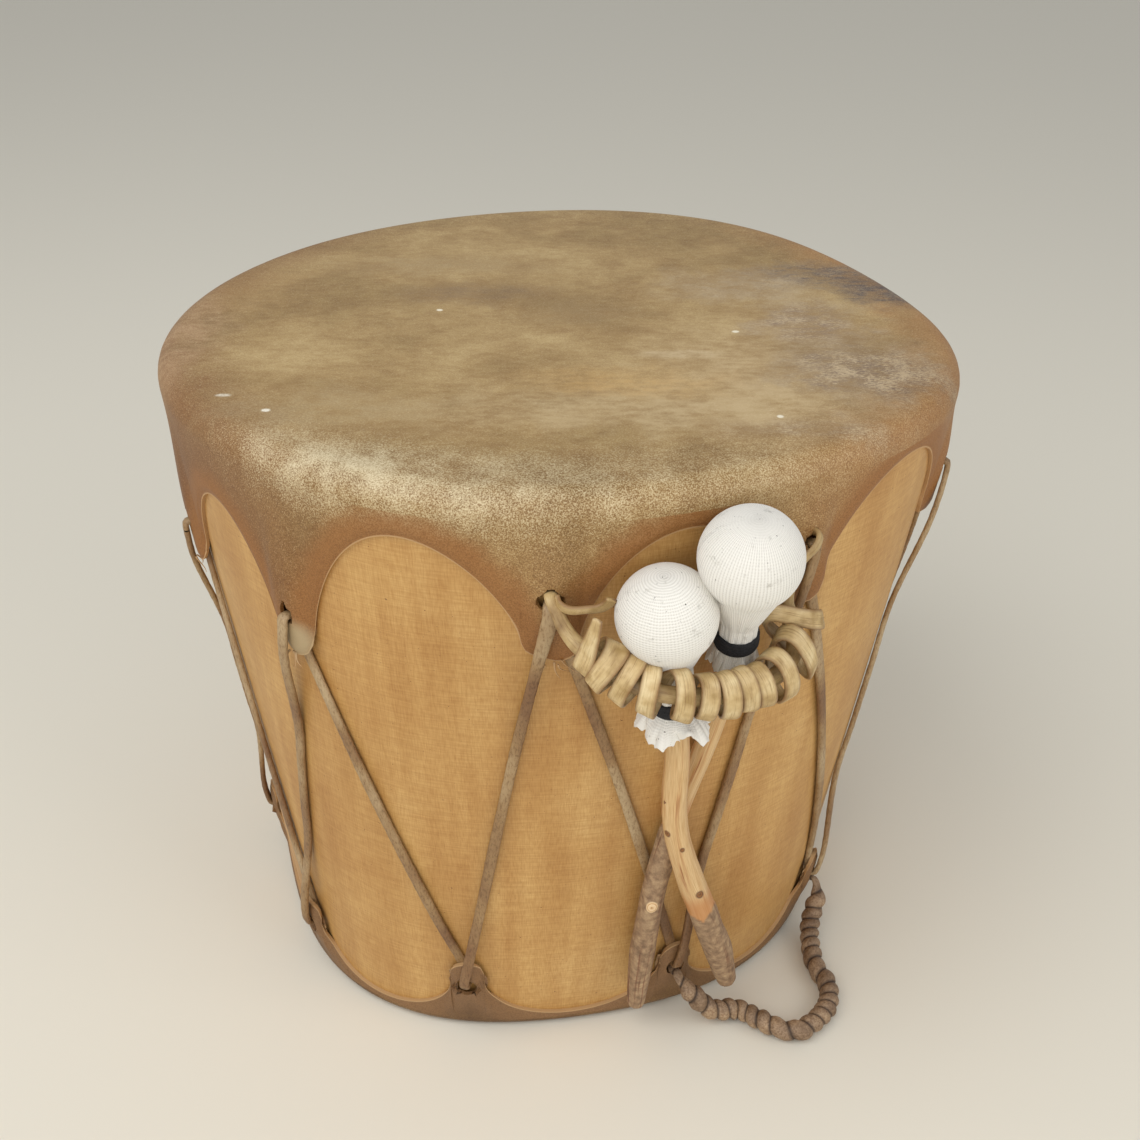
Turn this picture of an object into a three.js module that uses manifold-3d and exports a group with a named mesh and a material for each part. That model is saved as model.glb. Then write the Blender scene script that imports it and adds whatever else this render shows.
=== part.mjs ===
// A laced drum: a tapered wooden shell, two rawhide heads, a lace between them, two rawhide handles, and two
// padded beaters kept in the upper handle. Millimetres, +Z up, the front towards -Y, and the origin in the
// middle of the face that it stands on.
//
// A place on the drum is given as beside(angle, height, off): the angle in degrees from the front, growing
// towards +X, the height above the ground, and the distance off the wood.
import * as THREE from 'three';
import { LoftGeometry } from 'three/addons/geometries/LoftGeometry.js';
import { mergeVertices } from 'three/addons/utils/BufferGeometryUtils.js';
import Module from 'manifold-3d';

const wasm = await Module();
wasm.setup();

// The shell: its radii are the wood's, taken at the heights of the standing face and the playing face.
const HEIGHT = 332;
const UPPER_RADIUS = 192.5;
const LOWER_RADIUS = 158;
const LEAN = 8;
const WALL = 16;
const RIM_ROUND = 10;
const FOOT_ROUND = 3;

// Slow waves of the outline around each end: how many there are in a turn, and their cosine and sine shares.
const UPPER_WAVES = [[2, 0.0028, 0.0013], [3, -0.0141, 0.0069], [4, 0.0021, -0.0132], [5, 0.0078, 0]];
const LOWER_WAVES = [
  [2, -0.0006, -0.0043], [3, -0.0008, -0.0111], [4, -0.0042, -0.0124], [5, -0.014, -0.0032],
];

// The hides. A hide is lifted off the wood where it has the lace under it, and comes back to the wood between
// the two LIFT_FADES from the side of a tongue. Each tongue has its angle, and then the distances of its tip,
// its hole and the next arch from the face of its head, as shares of the length of that head's skirt.
const HIDE = 2;
const SEAT_GAP = 0.8;
const UPPER_TONGUE_WIDTH = 25;
const LOWER_TONGUE_WIDTH = 19;
const TIP_ROUND = 8;
const HOLE_RADIUS = 5.8;
const LIFT_FADES = [5, 30];
const UPPER_SKIRT_LENGTH = 100;
const LOWER_SKIRT_LENGTH = 50;
const skirt = (length, tongues) => tongues.map(([angle, tip, hole, arch]) => (
  { angle, tip: tip * length, hole: hole * length, arch: arch * length }
));
const UPPER_SKIRT = skirt(UPPER_SKIRT_LENGTH, [
  [-68, 0.98, 0.75, 0.42], [-37.5, 1.02, 0.79, 0.25], [0, 0.81, 0.48, 0.21],
  [34.5, 0.74, 0.38, 0.18], [71, 0.76, 0.46, 0.22], [107, 0.88, 0.6, 0.26],
  [144, 0.92, 0.65, 0.24], [181, 0.84, 0.56, 0.27], [217, 0.94, 0.67, 0.3],
  [255, 0.98, 0.72, 0.35],
]);
const LOWER_SKIRT = skirt(LOWER_SKIRT_LENGTH, [
  [-48, 0.92, 0.58, 0.17], [-13.3, 1.04, 0.7, 0.16], [24.5, 1.02, 0.68, 0.17],
  [63, 0.94, 0.6, 0.18], [95, 0.92, 0.58, 0.16], [130, 0.98, 0.64, 0.17],
  [166, 0.9, 0.56, 0.16], [202, 0.96, 0.62, 0.17], [238, 0.92, 0.58, 0.18],
  [276, 0.96, 0.62, 0.16],
]);
const UPPER_ARCH_POWER = 0.7;
const LOWER_ARCH_POWER = 0.3;

// The lace is a flat strip. It lies on the wood, passes under each tongue and out through its hole. Where it
// passes over a tip it stays off the wood for TIP_OVER, and is back on it after TIP_STEP. Round the edge of a
// hole it bends as much as TURN_BEND of its thickness.
const LACE_WIDTH = 5.4;
const LACE_THICKNESS = 3;
const TURN_BEND = 0.8;
const TIP_OVER = 2;
const TIP_STEP = 50;

// The handles: a strip at their ends that passes through a hole, and a round rope between. GROOVE is the size
// between two turns of a wound strip, as a share of its full size. The strap shares are of the length, and each
// strap stays flat over its FLAT_SHARE.
const STRAP_WIDTH = 5.6;
const STRAP_THICKNESS = 2.6;
const CORE_DIAMETER = 7.6;
const WRAP_TALL = 22;
const WRAP_DEEP = 13;
const WRAP_TURNS = 10;
const WRAP_ROLL = 32;
const WRAP_SHARES = [0.195, 0.76];
const ROPE_DIAMETER = 11;
const ROPE_TWISTS = 16;
const GROOVE = 0.86;
const UPPER_STRAP_SHARE = 0.17;
const LOWER_STRAP_SHARE = 0.16;
const FLAT_SHARE = 0.4;

// What passes through or lies beside another piece keeps this clearance.
const CLEARANCE = 0.6;
const TONGUE_LIFT = LACE_THICKNESS + CLEARANCE;
const ON_WOOD = CLEARANCE + LACE_THICKNESS / 2;
const HIDE_MIDDLE = SEAT_GAP + TONGUE_LIFT + HIDE / 2;
const LACE_BESIDE_HIDE = HIDE / 2 + CLEARANCE + LACE_THICKNESS / 2;
const OVER_TONGUE = HIDE_MIDDLE + LACE_BESIDE_HIDE;
const OVER_LACE = OVER_TONGUE + (LACE_THICKNESS + STRAP_THICKNESS) / 2 + CLEARANCE;
const WRAP_BORE = CORE_DIAMETER + 5 * CLEARANCE;

// The upper handle between its two holes, as angles, depths below the top and distances off the wood, and the
// lower handle, which lies on the ground between its holes, as places.
const UPPER_HANDLE = [
  [0.6, 48.5, OVER_LACE], [1.6, 55, 16], [3.2, 61, 21], [5.5, 65.5, 26], [8.2, 72, 32.5],
  [10.8, 76, 37], [14.1, 79.5, 39], [17.7, 83, 39], [21.5, 84.5, 37], [25.3, 84.5, 34],
  [28.4, 82, 29], [30, 77, 23.5], [30.3, 70, 17.5], [30, 62, 12.8], [30.4, 53, 10.8],
  [31.6, 44, 11], [33.2, 38.5, OVER_LACE],
];
const LOWER_HANDLE = [
  [76, -157, 25], [82, -157, 17], [89, -156, 9.5], [103, -153, 6.2], [114, -160, 6.2], [124, -166, 6.2],
  [133, -167, 6.2], [143, -160, 6], [151, -149, 5.6], [153, -136, 5.6], [148.5, -122, 5.6], [148, -109, 6],
  [148.5, -98, 9], [151, -90, 15], [154, -84, 22],
];

// The beaters hang in the upper handle. The head's middle, its hem and the bends of the stick are angles,
// depths below the top and distances off the wood, and the other lengths are measured from the middle of the
// head along the stick.
const FRONT_BEATER = {
  name: 'front_beater',
  head: [12.9, 49, 21.6],
  hem: [16.5, 121, 18.6],
  headRadius: 19.9,
  neckRadius: 8,
  neckFrom: 28,
  tieAt: 47,
  hemAt: 74,
  hemRadius: 15,
  stickRadius: 5.9,
  bends: [[17.7, 170, 19.2], [19.8, 198, 20.2], [23.8, 234, 20.6], [28.4, 272, 20.8], [32, 305, 21]],
  radii: [6.2, 6.6, 7.2, 7.4, 5],
};
const BACK_BEATER = {
  name: 'back_beater',
  head: [21.6, 25.6, 24.4],
  hem: [23.4, 89, 14],
  headRadius: 20.3,
  neckRadius: 7,
  neckFrom: 36,
  tieAt: 46,
  hemAt: 65,
  hemRadius: 9.5,
  stickRadius: 5,
  bends: [
    [22.6, 142, 7.5], [20.8, 172, 6], [18.7, 201, 8.3], [17.3, 232, 10.6], [16.8, 276, 10.8],
    [16.8, 316, 11.4],
  ],
  radii: [5.2, 5.2, 5.6, 6, 6.4, 4.6],
};
const STICK_IN_HEAD = 22;
const STICK_BELOW_HEM = 4;
const COVER_WALL = 1;
const HEM_HEIGHT = 8;
const HEM_TAPER = 0.86;
const TIE_WIDTH = 9;
const TIE_THICKNESS = 1.6;
const TIE_BEVEL = 1;

// How finely curved things are cut into faces.
const SHELL_COLUMNS = 48;
const TONGUE_STEPS = [-1, -0.45, 0.45, 1];
const ARCH_STEPS = [-0.93, -0.7, -0.27, 0.27, 0.7, 0.93];
const DOWN_STEPS = 5;
const UP_STEPS = 3;
const UPPER_HANDLE_STEPS = 26;
const WRAP_FRAMES = 200;
const ROUND_SIDES = 8;
const HOLE_SIDES = 6;
const HEAD_SIDES = 14;
const BALL_TURNS = [130, 110, 90, 70, 50, 30, 10];

const HALF_CORNER = 1 - Math.SQRT1_2;
const UP = new THREE.Vector3(0, 0, 1);
const part = new THREE.Group();

function degrees(length, radius) {
  return THREE.MathUtils.radToDeg(length / radius);
}

function wave(waves, turn) {
  const at = ([times, cosine, sine]) => cosine * Math.cos(times * turn) + sine * Math.sin(times * turn);
  return waves.reduce((sum, one) => sum + at(one), 1);
}

function outward(angle) {
  const turn = THREE.MathUtils.degToRad(angle);
  return new THREE.Vector3(Math.sin(turn), -Math.cos(turn), 0);
}

function sideways(angle) {
  return outward(angle + 90);
}

function beside(angle, height, off) {
  const turn = THREE.MathUtils.degToRad(angle);
  const share = height / HEIGHT;
  const lower = LOWER_RADIUS * wave(LOWER_WAVES, turn);
  const upper = UPPER_RADIUS * wave(UPPER_WAVES, turn);
  const place = outward(angle).multiplyScalar(THREE.MathUtils.lerp(lower, upper, share) + off);
  place.x += LEAN * share;
  place.z = height;
  return place;
}

// A closed mesh as a solid: its shared vertices are merged, and faces that shrink to a line are dropped.
function asSolid(geometry) {
  const bare = new THREE.BufferGeometry();
  bare.setAttribute('position', geometry.attributes.position);
  bare.setIndex(geometry.index);
  const merged = mergeVertices(bare);
  const corners = merged.index.array;
  const faces = [];
  for (let face = 0; face < corners.length; face += 3) {
    const [a, b, c] = corners.slice(face, face + 3);
    if (a !== b && b !== c && c !== a) faces.push(a, b, c);
  }
  const vertProperties = new Float32Array(merged.attributes.position.array);
  const triVerts = new Uint32Array(faces);
  return new wasm.Manifold(new wasm.Mesh({ numProp: 3, vertProperties, triVerts }));
}

function asGeometry(solid) {
  const mesh = solid.getMesh();
  const geometry = new THREE.BufferGeometry();
  geometry.setAttribute('position', new THREE.BufferAttribute(mesh.vertProperties, 3));
  geometry.setIndex(new THREE.BufferAttribute(mesh.triVerts, 1));
  geometry.computeVertexNormals();
  return geometry;
}

function addPiece(name, geometry, colour, roughness) {
  const material = new THREE.MeshStandardMaterial({ color: colour, roughness, metalness: 0 });
  const mesh = new THREE.Mesh(geometry, material);
  mesh.name = name;
  part.add(mesh);
  return mesh;
}

// The shell is one closed ring of wood: up its outer wall, over the upper rim and down the inner wall.
function shellGeometry() {
  const foot = HIDE + SEAT_GAP;
  const top = HEIGHT - HIDE - SEAT_GAP;
  const footCorner = FOOT_ROUND * HALF_CORNER;
  const rimCorner = RIM_ROUND * HALF_CORNER;
  const profile = [
    [-WALL, foot], [-FOOT_ROUND, foot], [-footCorner, foot + footCorner], [0, foot + FOOT_ROUND],
    [0, HEIGHT / 3], [0, HEIGHT * 2 / 3],
    [0, top - RIM_ROUND], [-rimCorner, top - rimCorner], [-RIM_ROUND, top], [-WALL, top],
  ];
  const angles = Array.from({ length: SHELL_COLUMNS }, (_, column) => column * 360 / SHELL_COLUMNS);
  const ring = ([off, height]) => angles.map((angle) => beside(angle, height, off));
  return new LoftGeometry([...profile, profile[0]].map(ring));
}

// Each column of a hide has its angle, how far its edge and the line through the holes are from the face,
// and how much of the tongue's lift it takes.
function skirtColumns({ tongues, radius, tongueWidth, archPower }) {
  const half = degrees(tongueWidth / 2, radius);
  const columns = [];
  tongues.forEach((tongue, index) => {
    const last = index + 1 === tongues.length;
    const next = tongues[(index + 1) % tongues.length];
    const nextAngle = next.angle + (last ? 360 : 0);
    for (const step of TONGUE_STEPS) {
      const edge = tongue.tip - TIP_ROUND * (1 - Math.sqrt(1 - step * step));
      const line = Math.min(tongue.hole, edge - HIDE);
      columns.push({ angle: tongue.angle + step * half, edge, line, lift: 1 });
    }
    const middle = (tongue.angle + nextAngle) / 2;
    const span = (nextAngle - tongue.angle) / 2 - half;
    for (const step of ARCH_STEPS) {
      const share = (1 + step) / 2;
      const shoulder = THREE.MathUtils.lerp(tongue.tip, next.tip, share) - TIP_ROUND;
      const edge = tongue.arch + (shoulder - tongue.arch) * (1 - (1 - step * step) ** archPower);
      const holeLine = THREE.MathUtils.lerp(tongue.hole / tongue.tip, next.hole / next.tip, share);
      const away = (1 - Math.abs(step)) * THREE.MathUtils.degToRad(span) * radius;
      const lift = 1 - THREE.MathUtils.smoothstep(away, ...LIFT_FADES);
      columns.push({ angle: middle + step * span, edge, line: edge * holeLine, lift });
    }
  });
  return columns;
}

// A hide, from the inside of its face, down the inside of its skirt, round the edge and back up outside.
// place turns a distance from the head's face into a place on the drum.
function hideSections(head) {
  const { round, place } = head;
  const columns = skirtColumns(head);
  const inner = round + SEAT_GAP;
  const outer = inner + HIDE;
  const ring = (off, depth) => columns.map((column) => place(column.angle, depth, off));
  const skirtRing = (off, which) => columns.map((column) => {
    const least = outer + (which === 'edge' ? HIDE : HIDE / 2);
    const depth = Math.max(column[which], least);
    return place(column.angle, depth, off + TONGUE_LIFT * column.lift);
  });
  return [
    ring(-round, HIDE),
    ring(SEAT_GAP - HALF_CORNER * inner, HIDE + HALF_CORNER * inner),
    ring(SEAT_GAP, HIDE + inner),
    skirtRing(SEAT_GAP, 'line'),
    skirtRing(SEAT_GAP, 'edge'),
    skirtRing(SEAT_GAP + HIDE, 'edge'),
    skirtRing(SEAT_GAP + HIDE, 'line'),
    ring(SEAT_GAP + HIDE, outer),
    ring(SEAT_GAP + HIDE - HALF_CORNER * outer, HALF_CORNER * outer),
    ring(-round, 0),
  ];
}

const belowTop = (angle, depth, off) => beside(angle, HEIGHT - depth, off);
const aboveFoot = (angle, depth, off) => beside(angle, depth, off);

// The hole in a tongue is punched straight towards the middle of the drum, with a flat side where the lace
// turns.
function punch(tongue, place) {
  const length = 2 * (OVER_TONGUE - HIDE_MIDDLE);
  const halfSide = Math.PI / HOLE_SIDES;
  const corner = HOLE_RADIUS / Math.cos(halfSide);
  const tool = new THREE.CylinderGeometry(corner, corner, length, HOLE_SIDES, 1, false, halfSide);
  const turn = new THREE.Quaternion().setFromUnitVectors(new THREE.Vector3(0, 1, 0), outward(tongue.angle));
  tool.applyQuaternion(turn);
  const at = place(tongue.angle, tongue.hole, HIDE_MIDDLE);
  return asSolid(tool.translate(at.x, at.y, at.z));
}

// A ring drawn in to one place in its middle, which closes a flat face.
function drawnIn(ring) {
  const middle = ring.reduce((sum, place) => sum.add(place), new THREE.Vector3()).divideScalar(ring.length);
  return ring.map(() => middle);
}

function headGeometry(head, facesUp) {
  const rings = hideSections(head);
  const sections = [drawnIn(rings[0]), ...rings, drawnIn(rings.at(-1))];
  const hide = new LoftGeometry(facesUp ? sections : sections.reverse());
  const cut = (solid, tongue) => solid.subtract(punch(tongue, head.place));
  return asGeometry(head.tongues.reduce(cut, asSolid(hide)));
}

// Frames along a line of places: each has its place and the two directions across the line. The directions
// are carried from one place to the next, or taken from a hint for each place.
function framesAlong(places, hints, closed = false) {
  const last = places.length - 1;
  const frames = [];
  let across = hints[0];
  places.forEach((at, index) => {
    const before = places[index === 0 ? (closed ? last : 0) : index - 1];
    const after = places[index === last ? (closed ? 0 : last) : index + 1];
    const along = after.clone().sub(before).normalize();
    const hint = hints[index] ?? across;
    across = hint.clone().addScaledVector(along, -hint.dot(along)).normalize();
    frames.push({ at, across, rise: along.clone().cross(across) });
  });
  return frames;
}

function ellipse({ at, across, rise }, wide, thick) {
  const points = [];
  for (let side = 0; side < ROUND_SIDES; side += 1) {
    const turn = side / ROUND_SIDES * 2 * Math.PI;
    const point = at.clone().addScaledVector(across, Math.cos(turn) * wide / 2);
    points.push(point.addScaledVector(rise, Math.sin(turn) * thick / 2));
  }
  return points;
}

function strip({ at, across, rise }, wide, thick) {
  const corners = [[1, 1], [-1, 1], [-1, -1], [1, -1]];
  return corners.map(([side, face]) => {
    const point = at.clone().addScaledVector(across, side * wide / 2);
    return point.addScaledVector(rise, face * thick / 2);
  });
}

// Where the lace turns round the hide between a hole and its tip, seen from the front of the tongue to its
// back: four places, each with its distance from the hide's middle and how far it is into the hole.
const TURN_DEPTH = CLEARANCE + LACE_THICKNESS * TURN_BEND;
const TURN_OFF = HIDE / 2 + 2 * CLEARANCE;
const TURN = [
  [LACE_BESIDE_HIDE, -CLEARANCE], [TURN_OFF, TURN_DEPTH],
  [-TURN_OFF, TURN_DEPTH], [-LACE_BESIDE_HIDE, -CLEARANCE],
];

function laceTurn(tongue, place) {
  const hold = tongue.hole + HOLE_RADIUS;
  return TURN.map(([off, into]) => ({
    at: place(tongue.angle, hold - into, HIDE_MIDDLE + off),
    angle: tongue.angle,
  }));
}

// A straight run of lace between two places, lying on the wood in between.
function laceRun(from, to, heights) {
  return heights.map(([height, off]) => {
    const share = (height - from.height) / (to.height - from.height);
    const angle = THREE.MathUtils.lerp(from.angle, to.angle, share);
    return { at: beside(angle, height, off), angle };
  });
}

// Heights from one end of a run to the other, each with the lace's distance off the wood.
function onWood(from, to, steps) {
  const height = (step) => THREE.MathUtils.lerp(from, to, step / steps);
  return Array.from({ length: steps + 1 }, (_, step) => [height(step), ON_WOOD]);
}

function lacePath() {
  const stations = [];
  UPPER_SKIRT.forEach((upper, index) => {
    const lower = LOWER_SKIRT[index];
    const next = UPPER_SKIRT[(index + 1) % UPPER_SKIRT.length];
    const nextAngle = next.angle + (index + 1 === UPPER_SKIRT.length ? 360 : 0);
    const top = { angle: upper.angle, height: HEIGHT - upper.hole - HOLE_RADIUS };
    const foot = { angle: lower.angle, height: lower.hole + HOLE_RADIUS };
    const nextTop = { angle: nextAngle, height: HEIGHT - next.hole - HOLE_RADIUS };
    const leave = lower.tip;
    const arrive = HEIGHT - next.tip;
    const down = onWood(top.height, foot.height, DOWN_STEPS).slice(1, -1);
    const between = onWood(leave + TIP_STEP, arrive - TIP_STEP, UP_STEPS);
    const up = [[leave + TIP_OVER, OVER_TONGUE], ...between, [arrive - TIP_OVER, OVER_TONGUE]];
    stations.push(...laceTurn(upper, belowTop), ...laceRun(top, foot, down));
    stations.push(...laceTurn(lower, aboveFoot).reverse(), ...laceRun(foot, nextTop, up));
  });
  return stations;
}

function laceGeometry() {
  const stations = lacePath();
  const hints = stations.map(({ angle }) => sideways(angle));
  const frames = framesAlong(stations.map(({ at }) => at), hints, true);
  const sections = frames.map((frame) => strip(frame, LACE_WIDTH, LACE_THICKNESS));
  return new LoftGeometry([...sections, sections[0]]);
}

// The end of a handle passes into a hole, past the lace that turns in the same hole.
function strapInHole(tongue, place) {
  const past = tongue.hole - HOLE_RADIUS / 2;
  return [place(tongue.angle, past, ON_WOOD), place(tongue.angle, past, OVER_TONGUE)];
}

function handlePath(places, fromTongue, toTongue, place) {
  const start = strapInHole(fromTongue, place);
  const end = strapInHole(toTongue, place).reverse();
  return new THREE.CatmullRomCurve3([...start, ...places, ...end], false, 'centripetal');
}

function handleFrames(curve, steps, hint) {
  return framesAlong(curve.getSpacedPoints(steps), [hint]);
}

// A handle is a flat strip in its holes and grows round over a share of its length at each end.
function roundness(share, growth) {
  return THREE.MathUtils.smoothstep(Math.min(share, 1 - share), growth * FLAT_SHARE, growth);
}

function handleGeometry(frames, diameterAt, growth) {
  const sections = frames.map((frame, index) => {
    const share = index / (frames.length - 1);
    const round = roundness(share, growth);
    const wide = THREE.MathUtils.lerp(STRAP_WIDTH, diameterAt(index, share), round);
    const thick = THREE.MathUtils.lerp(STRAP_THICKNESS, diameterAt(index, share), round);
    return ellipse(frame, wide, thick);
  });
  return new LoftGeometry(sections, { capStart: true, capEnd: true });
}

// The wrap is one sleeve of wound strip: a bulge for each turn outside, and a plain bore for the core.
function wrapGeometry(curve, hint) {
  const all = handleFrames(curve, WRAP_FRAMES, hint);
  const [from, to] = WRAP_SHARES.map((share) => share * WRAP_FRAMES);
  const rings = 2 * WRAP_TURNS;
  const frameAt = (ring) => all[Math.round(THREE.MathUtils.lerp(from, to, ring / rings))];
  const outside = [];
  const bore = [];
  for (let ring = 0; ring <= rings; ring += 1) {
    const swell = ring % 2 === 1 ? 1 : GROOVE;
    outside.push(ellipse(frameAt(ring), WRAP_TALL * swell, WRAP_DEEP * swell));
    if (ring % 2 === 0) bore.push(ellipse(frameAt(ring), WRAP_BORE, WRAP_BORE));
  }
  return new LoftGeometry([...outside, ...bore.reverse(), outside[0]]);
}

// A beater: a stick that ends inside its head, the stuffed cover with its neck and hem, and the tie.
function addBeater(beater) {
  const head = belowTop(...beater.head);
  const hem = belowTop(...beater.hem);
  const along = hem.clone().sub(head).normalize();
  const onAxis = (distance) => head.clone().addScaledVector(along, distance);

  const boreRadius = beater.stickRadius + CLEARANCE;
  const neck = Math.max(beater.neckRadius, boreRadius + COVER_WALL);
  const tieStart = beater.tieAt - TIE_WIDTH / 2;
  const tieEnd = beater.tieAt + TIE_WIDTH / 2;
  const profile = [
    [0, STICK_IN_HEAD - CLEARANCE], [boreRadius, STICK_IN_HEAD - CLEARANCE], [boreRadius, beater.hemAt],
    [beater.hemRadius, beater.hemAt], [beater.hemRadius * HEM_TAPER, beater.hemAt - HEM_HEIGHT],
    [neck, tieEnd + CLEARANCE], [neck, Math.min(beater.neckFrom, tieStart - CLEARANCE)],
  ];
  for (const turn of BALL_TURNS) {
    const angle = THREE.MathUtils.degToRad(turn);
    profile.push([beater.headRadius * Math.sin(angle), -beater.headRadius * Math.cos(angle)]);
  }
  profile.push([0, -beater.headRadius]);
  const point = ([radius, distance]) => new THREE.Vector2(radius, -distance);
  const lathe = (outline) => new THREE.LatheGeometry(outline.map(point), HEAD_SIDES);
  const stand = new THREE.Quaternion().setFromUnitVectors(new THREE.Vector3(0, -1, 0), along);

  const cover = addPiece(`${beater.name}_head`, lathe(profile), '#ebe8df', 0.95);
  cover.position.copy(head);
  cover.quaternion.copy(stand);

  const inside = neck + CLEARANCE;
  const outside = inside + TIE_THICKNESS;
  const band = [
    [inside, tieStart], [inside, tieEnd], [outside, tieEnd - TIE_BEVEL], [outside, tieStart + TIE_BEVEL],
    [inside, tieStart],
  ];
  const tie = addPiece(`${beater.name}_tie`, lathe(band), '#17161a', 0.9);
  tie.position.copy(head);
  tie.quaternion.copy(stand);

  const straight = [onAxis(STICK_IN_HEAD), onAxis(beater.hemAt + STICK_BELOW_HEM)];
  const places = [...straight, ...beater.bends.map((bend) => belowTop(...bend))];
  const radii = [beater.stickRadius, beater.stickRadius, ...beater.radii];
  const frames = framesAlong(places, [sideways(beater.hem[0])]);
  const sections = frames.map((frame, index) => ellipse(frame, 2 * radii[index], 2 * radii[index]));
  const stick = new LoftGeometry(sections, { capStart: true, capEnd: true });
  addPiece(`${beater.name}_stick`, stick, '#c39a69', 0.6);
}

addPiece('drum_shell', shellGeometry(), '#c0955a', 0.5);
const upperHead = {
  tongues: UPPER_SKIRT,
  radius: UPPER_RADIUS,
  tongueWidth: UPPER_TONGUE_WIDTH,
  archPower: UPPER_ARCH_POWER,
  round: RIM_ROUND,
  place: belowTop,
};
const lowerHead = {
  tongues: LOWER_SKIRT,
  radius: LOWER_RADIUS,
  tongueWidth: LOWER_TONGUE_WIDTH,
  archPower: LOWER_ARCH_POWER,
  round: FOOT_ROUND,
  place: aboveFoot,
};
addPiece('upper_head', headGeometry(upperHead, true), '#a89066', 0.6);
addPiece('lower_head', headGeometry(lowerHead, false), '#9f784a', 0.6);
addPiece('lacing', laceGeometry(), '#b3936a', 0.65);

const upperPlaces = UPPER_HANDLE.map((place) => belowTop(...place));
const upperCurve = handlePath(upperPlaces, UPPER_SKIRT[2], UPPER_SKIRT[3], belowTop);
const upperHint = sideways(UPPER_SKIRT[2].angle);
const upperFrames = handleFrames(upperCurve, UPPER_HANDLE_STEPS, upperHint);
const upperRope = handleGeometry(upperFrames, () => CORE_DIAMETER, UPPER_STRAP_SHARE);
addPiece('upper_handle', upperRope, '#b39a72', 0.65);
const roll = THREE.MathUtils.degToRad(WRAP_ROLL);
const wrapHint = upperHint.clone().multiplyScalar(Math.cos(roll)).addScaledVector(UP, Math.sin(roll));
addPiece('upper_handle_wrap', wrapGeometry(upperCurve, wrapHint), '#d1b98a', 0.65);

const lowerPlaces = LOWER_HANDLE.map((place) => new THREE.Vector3(...place));
const lowerCurve = handlePath(lowerPlaces, LOWER_SKIRT[2], LOWER_SKIRT[3], aboveFoot);
const lowerFrames = handleFrames(lowerCurve, 2 * ROPE_TWISTS, sideways(LOWER_SKIRT[2].angle));
const ropeAt = (index) => ROPE_DIAMETER * (index % 2 === 1 ? 1 : GROOVE);
const lowerRope = handleGeometry(lowerFrames, ropeAt, LOWER_STRAP_SHARE);
addPiece('lower_handle', lowerRope, '#826a48', 0.7);

addBeater(FRONT_BEATER);
addBeater(BACK_BEATER);

export default part;
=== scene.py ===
import math

import bpy
import numpy as np
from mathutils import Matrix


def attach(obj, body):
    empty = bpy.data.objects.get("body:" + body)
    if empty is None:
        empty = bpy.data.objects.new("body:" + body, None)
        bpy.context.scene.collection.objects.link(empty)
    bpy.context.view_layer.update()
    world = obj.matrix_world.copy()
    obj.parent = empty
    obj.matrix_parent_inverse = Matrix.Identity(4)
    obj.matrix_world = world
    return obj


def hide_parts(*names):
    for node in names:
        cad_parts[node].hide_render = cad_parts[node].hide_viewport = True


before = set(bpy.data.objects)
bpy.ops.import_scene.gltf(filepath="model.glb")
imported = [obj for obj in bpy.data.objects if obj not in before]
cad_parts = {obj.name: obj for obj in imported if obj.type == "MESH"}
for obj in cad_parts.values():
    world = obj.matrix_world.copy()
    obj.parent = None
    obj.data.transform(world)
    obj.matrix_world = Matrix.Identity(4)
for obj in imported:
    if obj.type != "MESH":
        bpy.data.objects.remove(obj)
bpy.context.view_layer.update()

# The drum is seen from the front and from above, as by someone who stands at the table. It stands on a plain
# pale floor in soft light, with one large lamp above on the left.
EYE = (0.0146, -0.6696, 0.5804)
LOOKS_DOWN = math.radians(30.6)
LENS = 44.2
FLOOR_SIZE = 6.0
FLOOR_COLOUR = "#e2dccd"

camera_data = bpy.data.cameras.new("camera")
camera_data.lens = LENS
camera = bpy.data.objects.new("camera", camera_data)
camera.location = EYE
camera.rotation_euler = (math.pi / 2 - LOOKS_DOWN, 0, 0)
bpy.context.collection.objects.link(camera)
bpy.context.scene.camera = camera


def linear(colour):
    """The linear colour of an sRGB hex value."""
    channels = [int(colour[place:place + 2], 16) / 255 for place in (1, 3, 5)]
    return [c / 12.92 if c <= 0.04045 else ((c + 0.055) / 1.055) ** 2.4 for c in channels] + [1]


def plug(tree, node, inputs):
    """Sets the inputs of a node, or links them to sockets or to the first sockets of other nodes."""
    for name, value in inputs.items():
        if isinstance(value, bpy.types.Node):
            value = value.outputs[0]
        if isinstance(value, bpy.types.NodeSocket):
            tree.links.new(value, node.inputs[name])
        else:
            node.inputs[name].default_value = value


def add(tree, kind, inputs=None, stops=None, **settings):
    """Adds a node with its settings, its inputs and the stops of its ramp."""
    made = tree.nodes.new("ShaderNode" + kind)
    for name, value in settings.items():
        setattr(made, name, value)
    plug(tree, made, inputs or {})
    for index, (place, colour) in enumerate(stops or []):
        elements = made.color_ramp.elements
        element = elements[index] if index < len(elements) else elements.new(place)
        element.position = place
        element.color = linear(colour)
    return made


def new_material(name):
    """A material with its node tree, its shader and the object's coordinates."""
    material = bpy.data.materials.new(name)
    material.use_nodes = True
    tree = material.node_tree
    return material, tree, tree.nodes["Principled BSDF"], add(tree, "TexCoord").outputs["Object"]


floor_paint, tree, shader, _ = new_material("matt_floor_paint")
plug(tree, shader, {"Base Color": linear(FLOOR_COLOUR), "Roughness": 0.7})
bpy.ops.object.select_all(action="DESELECT")
bpy.ops.mesh.primitive_plane_add(size=FLOOR_SIZE, location=(0, 1, 0))
floor = bpy.context.object
floor.name = "floor"
floor.data.materials.append(floor_paint)

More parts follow.
